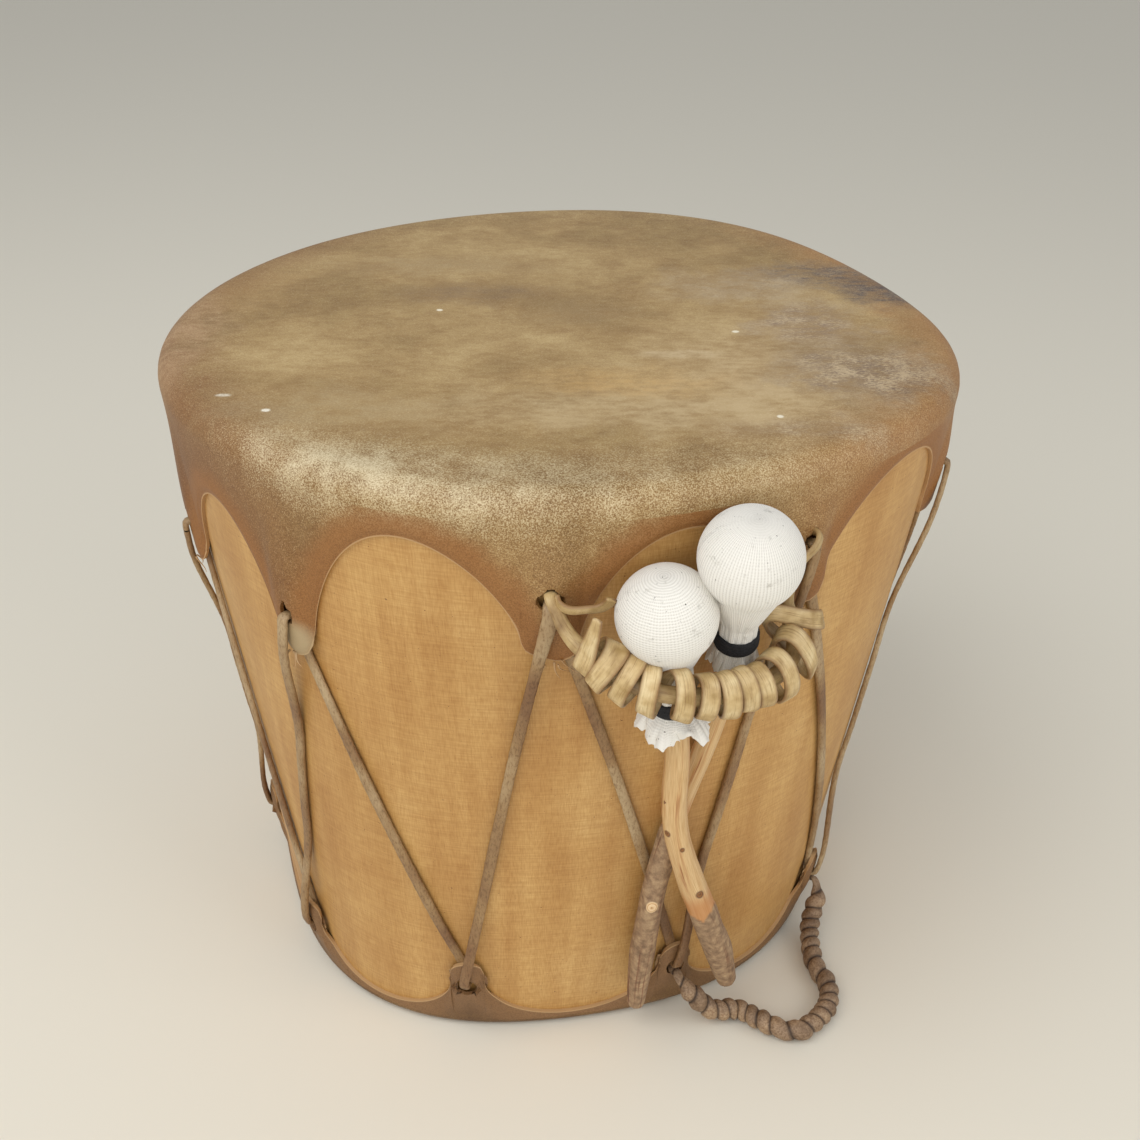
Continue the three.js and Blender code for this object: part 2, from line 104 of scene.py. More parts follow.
for name, power, size, place, turn in (
    ("lamp_above", 20, 1.6, (-0.9, -0.7, 1.7), (33, -28, 0)),
    ("lamp_right", 8.5, 1.2, (1.4, -0.9, 0.9), (62, 0, 58)),
    ("lamp_front", 15, 1.8, (-0.3, -2.2, 0.6), (80, 0, -8)),
):
    lamp = bpy.data.lights.new(name, "AREA")
    lamp.energy = power
    lamp.size = size
    lamp_place = bpy.data.objects.new(name, lamp)
    lamp_place.location = place
    lamp_place.rotation_euler = [math.radians(angle) for angle in turn]
    bpy.context.collection.objects.link(lamp_place)
world = bpy.data.worlds.new("soft_room")
world.use_nodes = True
world.node_tree.nodes["Background"].inputs["Color"].default_value = linear("#e6e8ea")
world.node_tree.nodes["Background"].inputs["Strength"].default_value = 0.62
bpy.context.scene.world = world
bpy.context.scene.view_settings.view_transform = "Standard"


# The shell is one hollowed log, wider at the top than at the foot, with a fine straight grain and a dull wax
# finish. Its outline is uneven, so every place on the drum is worked out from the slow waves of its two ends.
# All these sizes are in millimetres.
MM = 0.001
HEIGHT = 332
UPPER_RADIUS = 192.5
LOWER_RADIUS = 158
LEAN = 8
WALL = 16
RIM_ROUND = 10
FOOT_ROUND = 3
HIDE = 2
SEAT_GAP = 0.8
UPPER_WAVES = [(2, 0.0028, 0.0013), (3, -0.0141, 0.0069), (4, 0.0021, -0.0132), (5, 0.0078, 0)]
LOWER_WAVES = [(2, -0.0006, -0.0043), (3, -0.0008, -0.0111), (4, -0.0042, -0.0124), (5, -0.014, -0.0032)]
SHELL_COLUMNS = 240
WALL_ROWS = 60
ROUND_PLACES = 7
FIBRE = 0.55
SANDING = 0.8
STREAK = 14
CLOUD = 55
PORE = 1.1


def wave(waves, turn):
    """The uneven outline, as a share of the radius."""
    return 1 + sum(cosine * np.cos(times * turn) + sine * np.sin(times * turn) for times, cosine, sine in waves)


def beside(angle, height, off):
    """Places in metres, from the angle from the front, the height and the distance off the wood."""
    angle, height, off = np.broadcast_arrays(np.asarray(angle, float), height, off)
    turn = np.radians(angle)
    share = height / HEIGHT
    lower = LOWER_RADIUS * wave(LOWER_WAVES, turn)
    upper = UPPER_RADIUS * wave(UPPER_WAVES, turn)
    radius = lower + (upper - lower) * share + off
    return MM * np.stack([np.sin(turn) * radius + LEAN * share, -np.cos(turn) * radius, height], axis=-1)


def gridded(name, around, along, place, closed=True):
    """A grid bent over a form. place turns its columns and rows into places, and into marks for its finish."""
    bpy.ops.object.select_all(action="DESELECT")
    bpy.ops.mesh.primitive_grid_add(x_subdivisions=around, y_subdivisions=along, size=1)
    piece = bpy.context.object
    piece.name = name
    piece.data.name = name
    flat = np.empty(len(piece.data.vertices) * 3)
    piece.data.vertices.foreach_get("co", flat)
    flat = flat.reshape(-1, 3) + 0.5
    columns = np.rint(flat[:, 0] * around).astype(int)
    rows = np.rint(flat[:, 1] * along).astype(int)
    places, marks = place(columns, rows)
    piece.data.vertices.foreach_set("co", places.ravel())
    for mark, values in marks.items():
        attribute = piece.data.attributes.new(mark, "FLOAT", "POINT")
        attribute.data.foreach_set("value", np.broadcast_to(values, len(columns)).astype(np.float32))
    bpy.ops.object.mode_set(mode="EDIT")
    bpy.ops.mesh.select_all(action="SELECT")
    bpy.ops.mesh.remove_doubles(threshold=0.01 * MM)
    if closed:
        bpy.ops.mesh.normals_make_consistent(inside=False)
    bpy.ops.object.mode_set(mode="OBJECT")
    bpy.ops.object.shade_smooth()
    return piece


def shell_place(columns, rows):
    """Up the outer wall, over the rim and down the inner wall."""
    foot = HIDE + SEAT_GAP
    top = HEIGHT - HIDE - SEAT_GAP
    arc = np.radians(np.linspace(0, 90, ROUND_PLACES))
    outer_low = [(-FOOT_ROUND + FOOT_ROUND * math.sin(a), foot + FOOT_ROUND * (1 - math.cos(a))) for a in arc]
    outer_high = [(-RIM_ROUND + RIM_ROUND * math.cos(a), top - RIM_ROUND * (1 - math.sin(a))) for a in arc]
    wall = [(0, height) for height in np.linspace(foot + FOOT_ROUND, top - RIM_ROUND, WALL_ROWS)[1:-1]]
    profile = np.array([(-WALL, foot), *outer_low, *wall, *outer_high, (-WALL, top), (-WALL, foot)])
    off, height = profile[rows].T
    return beside(columns * 360 / SHELL_COLUMNS, height, off), {}


shell = gridded("shell", SHELL_COLUMNS, WALL_ROWS + 2 * ROUND_PLACES, shell_place)

# Waxed poplar, scraped and sanded: straight fibres run up the wall, and fine sanding marks cross them.
poplar, tree, shader, coordinates = new_material("waxed_poplar")
upright = add(tree, "Mapping", {"Vector": coordinates, "Scale": (1, 1, 0.03)})
crosswise = add(tree, "Mapping", {"Vector": coordinates, "Scale": (0.06, 0.06, 1)})
fibre = add(tree, "TexNoise", {"Vector": upright, "Scale": 1 / (FIBRE * MM), "Detail": 4})
streak = add(tree, "TexNoise", {"Vector": upright, "Scale": 1 / (STREAK * MM), "Detail": 3})
sanding = add(tree, "TexNoise", {"Vector": crosswise, "Scale": 1 / (SANDING * MM), "Detail": 2})
cloud = add(tree, "TexNoise", {"Vector": coordinates, "Scale": 1 / (CLOUD * MM), "Detail": 3})
pore = add(tree, "TexNoise", {"Vector": coordinates, "Scale": 1 / (PORE * MM), "Detail": 1})
colour = add(tree, "ValToRGB", {"Fac": cloud}, [(0.3, "#c29658"), (0.55, "#cba264"), (0.75, "#d2ac70")])
streaks = add(tree, "ValToRGB", {"Fac": streak}, [(0.35, "#ece3d6"), (0.65, "#ffffff")])
fibres = add(tree, "ValToRGB", {"Fac": fibre}, [(0.3, "#ece2d3"), (0.6, "#ffffff")])
marks = add(tree, "ValToRGB", {"Fac": sanding}, [(0.35, "#f1ebe2"), (0.65, "#ffffff")])
dots = add(tree, "ValToRGB", {"Fac": pore}, [(0.2, "#7c5426"), (0.24, "#ffffff")])
for layer in (streaks, fibres, marks, dots):
    colour = add(tree, "MixRGB", {"Fac": 1, "Color1": colour, "Color2": layer}, blend_type="MULTIPLY")
relief = add(tree, "Bump", {"Height": fibre, "Strength": 0.25, "Distance": 0.12 * MM})
relief = add(tree, "Bump", {"Height": sanding, "Strength": 0.2, "Distance": 0.1 * MM, "Normal": relief})
plug(tree, shader, {"Base Color": colour, "Roughness": 0.5, "Normal": relief})
shell.data.materials.append(poplar)
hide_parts("drum_shell")
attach(shell, "root")


# Each head is a soaked rawhide, drawn over an end of the shell and dried. Its skirt is cut in arches that
# leave a tongue for every hole. It is thinner along the cut, and stands off the wood where the lace is under it.
TIP_ROUND = 8
LACE_WIDTH = 5.4
LACE_THICKNESS = 3
CLEARANCE = 0.6
TONGUE_LIFT = LACE_THICKNESS + CLEARANCE
LIFT_REACH = (3.4, 14)
EDGE_THINNER = 1.1
EDGE_REACH = 4.5
HOLE_RADIUS = 5.6
PART_HOLE_RADIUS = 5.8
TONGUE_COLUMNS = 12
ARCH_COLUMNS = 46
CELL_COLUMNS = TONGUE_COLUMNS + ARCH_COLUMNS
HOLE_REACH = 8
EDGE_ROWS = 8
HOLE_ROWS = 8
SKIRT_ROWS = 24
ROLL_ROWS = 9
FACE_ROWS = 22
HEAD_ROWS = EDGE_ROWS + HOLE_ROWS + SKIRT_ROWS + ROLL_ROWS + FACE_ROWS
# Each tongue has its angle, the distances of its tip, its hole and the next arch from the face, and how wide
# its hole is as a share of a round one.
UPPER_TONGUES = [
    (-68, 98, 75, 42, 0.8), (-37.5, 102, 79, 25, 0.5), (0, 81, 48, 21, 1.05), (34.5, 74, 38, 18, 0.6),
    (71, 76, 46, 22, 0.8), (107, 88, 60, 26, 0.9), (144, 92, 65, 24, 0.7), (181, 84, 56, 27, 0.9),
    (217, 94, 67, 30, 0.8), (255, 98, 72, 35, 0.7),
]
LOWER_TONGUES = [
    (-48, 46, 29, 8.5, 1), (-13.3, 52, 35, 8, 1.15), (24.5, 51, 34, 8.5, 1), (63, 47, 30, 9, 0.9),
    (95, 46, 29, 8, 1), (130, 49, 32, 8.5, 0.9), (166, 45, 28, 8, 1), (202, 48, 31, 8.5, 0.9),
    (238, 46, 29, 9, 1), (276, 48, 31, 8, 0.9),
]
UPPER_HEAD = {
    "tongues": np.array(UPPER_TONGUES),
    "others": np.array(LOWER_TONGUES),
    "radius": UPPER_RADIUS,
    "tongue_width": 25,
    "arch_power": 0.7,
    "round": RIM_ROUND,
    "face_up": True,
}
LOWER_HEAD = {
    "tongues": np.array(LOWER_TONGUES),
    "others": np.array(UPPER_TONGUES),
    "radius": LOWER_RADIUS,
    "tongue_width": 16,
    "arch_power": 0.36,
    "round": FOOT_ROUND,
    "face_up": False,
}


def smoothstep(value, low, high):
    """0 below low, 1 above high and a smooth rise between."""
    share = np.clip((value - low) / (high - low), 0, 1)
    return share * share * (3 - 2 * share)


def skirt_columns(head):
    """For each column of a skirt its angle, its edge and the line of the holes."""
    tongues = head["tongues"]
    half = math.degrees(head["tongue_width"] / 2 / head["radius"])
    following = np.roll(tongues, -1, axis=0)
    following[-1, 0] += 360
    columns = []
    for (angle, tip, hole, arch, _), (next_angle, next_tip, next_hole, _, _) in zip(tongues, following):
        for step in np.linspace(-1, 1, TONGUE_COLUMNS, endpoint=False):
            edge = tip - TIP_ROUND * (1 - math.sqrt(1 - step * step))
            columns.append((angle + step * half, edge, hole))
        middle = (angle + next_angle) / 2
        span = (next_angle - angle) / 2 - half
        for step in np.sin(np.linspace(-math.pi / 2, math.pi / 2, ARCH_COLUMNS, endpoint=False)):
            share = (1 + step) / 2
            shoulder = tip + (next_tip - tip) * share - TIP_ROUND
            edge = arch + (shoulder - arch) * (1 - (1 - step * step) ** head["arch_power"])
            line = edge * (hole / tip + (next_hole / next_tip - hole / tip) * share)
            columns.append((middle + step * span, edge, line))
    angle, edge, line = columns[0]
    columns.append((angle + 360, edge, line))
    return np.array(columns)


def lace_lift(head, angle, depth):
    """How far the lace under a hide holds it off the wood: 1 over the lace and 0 clear of it."""
    lift = np.zeros(len(angle))
    for tongue, other in zip(head["tongues"], head["others"]):
        slope = (other[0] - tongue[0]) / (HEIGHT - other[2] - tongue[2] - 2 * PART_HOLE_RADIUS)
        past = np.maximum(depth - tongue[2] - PART_HOLE_RADIUS, 0)
        turn = (angle - tongue[0] - slope * past + 180) % 360 - 180
        away = np.abs(np.radians(turn)) * head["radius"]
        lift = np.maximum(lift, 1 - smoothstep(away, *LIFT_REACH))
    return lift


def head_place(head):
    """The outer side of a hide, from the cut edge up the skirt, over the roll and in to the middle."""
    table = skirt_columns(head)
    tongues = head["tongues"]
    radius = head["radius"]
    roll = head["round"] + SEAT_GAP + HIDE

    def place(columns, rows):
        angle, edge, line = table[columns].T
        turn_over = np.where(columns >= CELL_COLUMNS * len(tongues), 360, 0)
        tongue = tongues[(columns // CELL_COLUMNS) % len(tongues)]
        reach = HOLE_REACH * line / tongue[:, 2]
        edge = np.maximum(edge, roll + 2)
        lower_line = np.clip(line + reach, roll + 1.2, edge - 0.7)
        upper_line = np.clip(line - reach, roll + 0.5, lower_line - 0.4)
        depth = edge + (lower_line - edge) * np.clip(rows / EDGE_ROWS, 0, 1)
        share = np.clip((rows - EDGE_ROWS) / HOLE_ROWS, 0, 1)
        depth = np.where(rows > EDGE_ROWS, lower_line + (upper_line - lower_line) * share, depth)
        share = np.clip((rows - EDGE_ROWS - HOLE_ROWS) / SKIRT_ROWS, 0, 1)
        depth = np.where(rows > EDGE_ROWS + HOLE_ROWS, upper_line + (roll - upper_line) * share, depth)

        column_step = columns % CELL_COLUMNS - TONGUE_COLUMNS / 2
        row_step = rows - EDGE_ROWS - HOLE_ROWS / 2
        block = np.maximum(np.abs(column_step), np.abs(row_step)) / 2
        across = np.radians(angle - tongue[:, 0] - turn_over) * radius
        down = depth - tongue[:, 2]
        reach_out = np.hypot(across, down) + 1e-6
        tear = 1 - 0.45 * np.clip(-down / HOLE_RADIUS, 0, 1)
        round_across = across / reach_out * HOLE_RADIUS * tongue[:, 4] * tear
        round_down = down / reach_out * HOLE_RADIUS
        near = smoothstep(2 - block, 0, 1)
        angle = tongue[:, 0] + turn_over + np.degrees((across + (round_across - across) * near) / radius)
        depth = tongue[:, 2] + down + (round_down - down) * near
        in_hole = block < 1

        arc = np.clip((rows - EDGE_ROWS - HOLE_ROWS - SKIRT_ROWS) / ROLL_ROWS, 0, 1) * math.pi / 2
        on_roll = arc > 0
        skirt = ~on_roll
        edge_across = np.radians(table[:, 0]) * radius
        here = np.stack([np.radians(angle) * radius, depth], axis=1)
        cut = np.full(len(columns), 99.0)
        half_cell = CELL_COLUMNS // 2
        for start in range(0, len(table), half_cell):
            part = slice(start, start + half_cell + 1)
            gap = np.hypot(here[skirt, 0, None] - edge_across[part], here[skirt, 1, None] - table[part, 1])
            cut[skirt] = np.minimum(cut[skirt], gap.min(axis=1))

        thin = 1 - smoothstep(cut, 0, EDGE_REACH)
        bow = smoothstep(depth, roll, np.maximum(line, roll + 1))
        off = SEAT_GAP + HIDE + TONGUE_LIFT * lace_lift(head, angle, depth) * bow - EDGE_THINNER * thin
        off = np.where(on_roll, -head["round"] + roll * np.cos(arc), off)
        depth = np.where(on_roll, roll - roll * np.sin(arc), depth)
        places = beside(angle, HEIGHT - depth if head["face_up"] else depth, off)
        inward = np.clip((rows - (HEAD_ROWS - FACE_ROWS)) / FACE_ROWS, 0, 1)
        middle = np.array([LEAN, 0, HEIGHT]) * MM * head["face_up"]
        places += (middle - places) * (inward ** 0.8)[:, None]
        run = np.where(on_roll, roll * (math.pi / 2 - arc), depth + roll * (math.pi / 2 - 1)) - inward * radius
        wall = 1 - thin * EDGE_THINNER / HIDE
        return places, {"cut": cut, "run": run, "wall": wall, "in_hole": in_hole}

    return place


def mark_values(piece, mark):
    """The values of a mark at the vertices of a piece, after which the mark is taken away."""
    values = np.empty(len(piece.data.vertices), np.float32)
    piece.data.attributes[mark].data.foreach_get("value", values)
    piece.data.attributes.remove(piece.data.attributes[mark])
    return values


def hide_of(name, head):
    """A hide with its holes open and its thickness on the inner side."""
    piece = gridded(name, CELL_COLUMNS * len(head["tongues"]), HEAD_ROWS, head_place(head), closed=False)
    in_hole = mark_values(piece, "in_hole")
    bpy.ops.object.mode_set(mode="EDIT")
    bpy.ops.mesh.select_all(action="DESELECT")
    bpy.ops.object.mode_set(mode="OBJECT")
    piece.data.vertices.foreach_set("select", in_hole > 0.5)
    bpy.ops.object.mode_set(mode="EDIT")
    bpy.ops.mesh.delete(type="VERT")
    bpy.ops.mesh.select_all(action="SELECT")
    if not head["face_up"]:
        bpy.ops.mesh.flip_normals()
    bpy.ops.object.mode_set(mode="OBJECT")
    group = piece.vertex_groups.new(name="wall")
    for vertex, share in enumerate(mark_values(piece, "wall")):
        group.add([vertex], float(share), "REPLACE")
    wall = piece.modifiers.new("thickness", "SOLIDIFY")
    wall.thickness = HIDE * MM
    wall.offset = -1
    wall.vertex_group = "wall"
    bpy.ops.object.modifier_apply(modifier="thickness")
    bpy.ops.object.shade_smooth_by_angle(angle=math.radians(50))
    return piece


upper_head = hide_of("upper_hide", UPPER_HEAD)
lower_head = hide_of("lower_hide", LOWER_HEAD)

# Torn fibres hang from the tips of the front tongues, each with its angle, its depth, its reach sideways and down.
FIBRE_THICKNESS = 1.1
FIBRE_TIP = 0.24
TORN_FIBRES = [
    (0.6, 80, 3, 9), (1.1, 80.5, 5.5, 6), (-0.6, 80.5, -2, 7), (1.6, 79, 7, 8), (-37.4, 101, 2, 8),
    (-36.9, 100.5, 5, 5), (-38, 101, -3, 5), (35, 73.5, 3, 6), (-67.5, 97, 3, 8), (-68.3, 97.5, -1, 6),
]


def joined(pieces, onto):
    """Makes the pieces part of the one that they lie on."""
    bpy.ops.object.select_all(action="DESELECT")
    for piece in (*pieces, onto):
        piece.select_set(True)
    bpy.context.view_layer.objects.active = onto
    bpy.ops.object.join()


fibres = []
for index, (angle, depth, aside, fall) in enumerate(TORN_FIBRES):
    bpy.ops.object.select_all(action="DESELECT")
    bpy.ops.mesh.primitive_cone_add(
        vertices=5, radius1=FIBRE_THICKNESS / 2 * MM, radius2=FIBRE_TIP / 2 * MM, depth=fall * MM,
    )
    fibre = bpy.context.object
    bpy.ops.object.mode_set(mode="EDIT")
    bpy.ops.mesh.select_all(action="SELECT")
    bpy.ops.mesh.subdivide(number_cuts=5)
    bpy.ops.object.mode_set(mode="OBJECT")
    for vertex in fibre.data.vertices:
        share = 0.5 + vertex.co.z / (fall * MM)
        turn = math.degrees(aside * share * share / UPPER_RADIUS)
        spot = beside(angle + turn, HEIGHT - depth - fall * share, 6.2 + 1.4 * math.sin(3 * share + index))
        vertex.co = (spot[0] + vertex.co.x, spot[1] + vertex.co.y, spot[2])
    fibres.append(fibre)
joined(fibres, upper_head)

# Rawhide with the hair scraped off: a softly mottled tan with faint strokes across it, sandy dark grain over the
# skirt, reddish brown along the cut, painted shade over both sides of the upper roll, and worn pale over its front.
GRAIN = 0.62
MOTTLE = 62
PATCH = 17
WARP = 22
STROKE = 3.2
SCRATCH = 0.9
CUT_BAND = 13
PALE_EDGE = 1.0
# The stains of the playing face: place, half sizes, colour, strength, and how much pale dust is scratched in.
STAINS = [
    ((112, -78, 332), (76, 80, 30), "#c6ad85", 0.5, 0),
    ((150, 64, 330), (46, 22, 34), "#625146", 1.15, 0.35),
    ((180, 38, 326), (24, 30, 34), "#584a44", 1.25, 0.25),
    ((136, -10, 332), (30, 36, 30), "#816b5a", 0.85, 0.9),
    ((152, -74, 331), (46, 38, 30), "#78624f", 1, 0.85),
    ((116, -132, 330), (40, 12, 30), "#8a7053", 0.8, 0.9),
    ((104, 44, 332), (46, 30, 30), "#a08c72", 0.65, 0.6),
    ((-34, 34, 332), (46, 17, 30), "#73593f", 0.65, 0),
    ((-58, 80, 332), (60, 22, 30), "#8d7350", 0.45, 0),
    ((20, 6, 332), (34, 22, 30), "#8a704b", 0.5, 0),
    ((-95, -112, 332), (70, 24, 30), "#97805a", 0.5, 0.2),
    ((40, -112, 332), (90, 30, 30), "#c0a87e", 0.6, 0.1),
    ((-150, 40, 332), (34, 50, 30), "#a3814f", 0.5, 0),
    ((66, -50, 332), (22, 8, 30), "#cbb58f", 0.7, 0.5),
    ((40, -84, 332), (50, 20, 30), "#c29a5c", 0.55, 0),
    ((-176, -25, 326), (26, 70, 30), "#c0a07a", 0.6, 0),
    ((-139, -98, 332), (3.4, 1.8, 6), "#efe8d6", 2, 0),
    ((-117, -114, 332), (2, 1.5, 6), "#efe8d6", 2, 0),
    ((-52, 10, 332), (1.6, 1.4, 6), "#e9dfc6", 2, 0),
    ((96, -20, 332), (1.8, 1.4, 6), "#e9dfc6", 2, 0),
    ((105, -120, 332), (1.6, 1.6, 6), "#e9dfc6", 2, 0),
]


def rawhide(name, tones, band, face_up):
    """Rawhide whose finish follows the marks of a hide: its distances from the cut and from the roll."""
    material, tree, shader, coordinates = new_material(name)
    cut, run = (add(tree, "Attribute", attribute_name=mark).outputs["Fac"] for mark in ("cut", "run"))
    strokes = add(tree, "Mapping", {"Vector": coordinates, "Scale": (0.4, 1, 1)})
    mottle = add(tree, "TexNoise", {
        "Vector": coordinates, "Scale": 1 / (MOTTLE * MM), "Detail": 6, "Distortion": 0.3,
    })
    stroke = add(tree, "TexNoise", {"Vector": strokes, "Scale": 1 / (STROKE * MM), "Detail": 4, "Roughness": 0.6})
    patch = add(tree, "TexNoise", {"Vector": coordinates, "Scale": 1 / (PATCH * MM), "Detail": 5, "Roughness": 0.6})
    grain = add(tree, "TexNoise", {"Vector": coordinates, "Scale": 1 / (GRAIN * MM), "Detail": 3, "Roughness": 0.7})
    colour = add(tree, "ValToRGB", {"Fac": mottle}, tones)
    for layer, stops in (
        (patch, [(0.34, "#e6ddce"), (0.6, "#ffffff")]),
        (stroke, [(0.32, "#ece5da"), (0.6, "#ffffff")]),
        (grain, [(0.36, "#e2d9ca"), (0.56, "#ffffff")]),
    ):
        shade = add(tree, "ValToRGB", {"Fac": layer}, stops)
        colour = add(tree, "MixRGB", {"Fac": 0.85, "Color1": colour, "Color2": shade}, blend_type="MULTIPLY")

    if face_up:
        spot = add(tree, "SeparateXYZ", {"Vector": coordinates})
        # Painted shade: darker browns over the left and right sides of the skirt just below the roll, where it turns
        # away.
        side_shade_edge = add(tree, "Math", {0: patch, 1: 40, 2: run}, operation="MULTIPLY_ADD")
        side_shade_zone = add(tree, "MapRange", {"Value": side_shade_edge, "From Min": 4, "From Max": 28})
        for start, end, side_shade_colour in ((-0.07, -0.15, "#83592f"), (0.08, 0.16, "#a37440")):
            there = add(tree, "MapRange", {
                "Value": spot.outputs["X"], "From Min": start, "From Max": end, "To Max": 0.8,
            }, interpolation_type="SMOOTHSTEP")
            rim = add(tree, "Math", {0: there, 1: side_shade_zone}, operation="MULTIPLY")
            colour = add(tree, "MixRGB", {"Fac": rim, "Color1": colour, "Color2": linear(side_shade_colour)})
        warp = add(tree, "TexNoise", {
            "Vector": coordinates, "Scale": 1 / (WARP * MM), "Detail": 5, "Roughness": 0.62,
        })
        shift = add(tree, "VectorMath", {0: warp.outputs["Color"], 1: (0.5, 0.5, 0.5)}, operation="SUBTRACT")
        dusting = add(tree, "Math", {0: stroke, 1: patch}, operation="ADD")
        broken_up = add(tree, "MapRange", {"Value": dusting, "From Min": 0.82, "From Max": 1.16, "To Min": 0.3})
        scratch = add(tree, "TexNoise", {
            "Vector": strokes, "Scale": 1 / (SCRATCH * MM), "Detail": 4, "Roughness": 0.8,
        })
        flecks = add(tree, "Math", {0: patch, 1: 0.7, 2: scratch}, operation="MULTIPLY_ADD")
        scratches = add(tree, "MapRange", {"Value": flecks, "From Min": 0.84, "From Max": 0.97})
        for place, half_sizes, stain_colour, strength, dusty in STAINS:
            wander = min(half_sizes) * 2.4 * MM
            warped = add(tree, "VectorMath", {
                0: shift, 1: (wander, wander, wander), 2: coordinates,
            }, operation="MULTIPLY_ADD")
            centred = add(tree, "VectorMath", {0: warped, 1: [value * MM for value in place]}, operation="SUBTRACT")
            scaled = add(tree, "VectorMath", {
                0: centred, 1: [1 / (size * MM) for size in half_sizes],
            }, operation="MULTIPLY")
            away = add(tree, "VectorMath", {0: scaled}, operation="LENGTH")
            stain = add(tree, "MapRange", {
                "Value": away.outputs["Value"], "From Min": 1.3, "From Max": 0.25, "To Max": strength,
            }, interpolation_type="SMOOTHSTEP")
            stained = add(tree, "Math", {0: stain, 1: broken_up}, operation="MULTIPLY")
            colour = add(tree, "MixRGB", {
                "Fac": stained, "Color1": colour, "Color2": linear(stain_colour),
            }, use_clamp=True)
            if dusty:
                there = add(tree, "Math", {0: stain, 1: dusty}, operation="MULTIPLY")
                dust = add(tree, "Math", {0: there, 1: scratches}, operation="MULTIPLY")
                colour = add(tree, "MixRGB", {"Fac": dust, "Color1": colour, "Color2": linear("#c8b18c")})

    on_skirt = add(tree, "MapRange", {"Value": run, "From Min": -22, "From Max": 8, "To Max": 0.6})
    specks = add(tree, "ValToRGB", {"Fac": grain}, [(0.38, "#b39b76"), (0.55, "#ffffff")])
    colour = add(tree, "MixRGB", {"Fac": on_skirt, "Color1": colour, "Color2": specks}, blend_type="MULTIPLY")
    warmth = add(tree, "MapRange", {"Value": run, "From Min": 6, "From Max": 70, "To Max": 0.75})
    colour = add(tree, "MixRGB", {
        "Fac": warmth, "Color1": colour, "Color2": linear("#d4ad70"),
    }, blend_type="MULTIPLY")

    if face_up:
        over_roll = add(tree, "MapRange", {"Value": run, "From Min": -26, "From Max": 2})
        past_roll = add(tree, "MapRange", {"Value": run, "From Min": 38, "From Max": 4})
        front = add(tree, "MapRange", {"Value": spot.outputs["Y"], "From Min": -0.118, "From Max": -0.160})
        left = add(tree, "MapRange", {"Value": spot.outputs["X"], "From Min": 0.14, "From Max": -0.06, "To Min": 0.2})
        clouds = add(tree, "MapRange", {"Value": patch, "From Min": 0.36, "From Max": 0.6, "To Min": 0.45})
        wear = over_roll
        for part in (past_roll, front, left, clouds):
            wear = add(tree, "Math", {0: wear, 1: part}, operation="MULTIPLY")
        grains = add(tree, "Math", {0: grain, 1: 3, 2: wear}, operation="MULTIPLY_ADD")
        worn = add(tree, "MapRange", {"Value": grains, "From Min": 1.72, "From Max": 2.6, "To Max": 0.78})
        colour = add(tree, "MixRGB", {"Fac": worn, "Color1": colour, "Color2": linear("#d9cba8")})

    uneven_cut = add(tree, "Math", {0: patch, 1: 12.0, 2: cut}, operation="MULTIPLY_ADD")
    band_part = add(tree, "MapRange", {
        "Value": uneven_cut, "From Min": CUT_BAND + 12, "From Max": CUT_BAND - 1, "To Max": 0.85,
    }, interpolation_type="SMOOTHSTEP")
    rind = add(tree, "MixRGB", {"Fac": 0.5, "Color1": linear(band), "Color2": specks}, blend_type="MULTIPLY")
    colour = add(tree, "MixRGB", {"Fac": band_part, "Color1": colour, "Color2": rind})
    edge_part = add(tree, "MapRange", {
        "Value": cut, "From Min": PALE_EDGE, "From Max": PALE_EDGE * 0.4, "To Max": 0.7,
    })
    colour = add(tree, "MixRGB", {"Fac": edge_part, "Color1": colour, "Color2": linear("#c6a172")})
    if face_up:
        clear_tip = beside(-36.2, HEIGHT - 93, 7)
        away = add(tree, "VectorMath", {0: coordinates, 1: tuple(clear_tip)}, operation="DISTANCE")
        clear = add(tree, "MapRange", {
            "Value": away.outputs["Value"], "From Min": 14 * MM, "From Max": 5 * MM, "To Max": 0.75,
        }, interpolation_type="SMOOTHSTEP")
        colour = add(tree, "MixRGB", {"Fac": clear, "Color1": colour, "Color2": linear("#ab9a76")})
    gloss = add(tree, "MapRange", {"Value": patch, "To Min": 0.5, "To Max": 0.66})
    swell = add(tree, "Bump", {"Height": patch, "Strength": 0.35, "Distance": 0.6 * MM})
    relief = add(tree, "Bump", {"Height": grain, "Strength": 0.3, "Distance": 0.2 * MM, "Normal": swell})
    plug(tree, shader, {"Base Color": colour, "Roughness": gloss, "Normal": relief})
    return material


upper_tones = [(0.36, "#a18656"), (0.5, "#b09463"), (0.64, "#bea473")]
lower_tones = [(0.33, "#6e5233"), (0.5, "#82633d"), (0.68, "#957549")]
upper_head.data.materials.append(rawhide("upper_rawhide", upper_tones, "#92602b", True))
lower_head.data.materials.append(rawhide("lower_rawhide", lower_tones, "#85623e", False))
for hide, node, slot in ((upper_head, "upper_head", "upper_rawhide"), (lower_head, "lower_head", "lower_rawhide")):
    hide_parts(node)
    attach(hide, "root")


# The lace is one long strip of rawhide, soaked, drawn up from tongue to tongue and dried hard. It passes under
# each tongue, comes out through its hole and goes on over the tip.
TIP_OVER = 2
TIP_STEP = 50
TURN_BEND = 0.8
DOWN_STEPS = 5
UP_STEPS = 3
ON_WOOD = CLEARANCE + LACE_THICKNESS / 2
HIDE_MIDDLE = SEAT_GAP + TONGUE_LIFT + HIDE / 2
BESIDE_HIDE = HIDE / 2 + CLEARANCE + LACE_THICKNESS / 2
OVER_TONGUE = HIDE_MIDDLE + BESIDE_HIDE
LACE_STATIONS = 3600
LACE_SIDES = 12
LACE_GRAIN = 0.9
LACE_CLOUD = 50


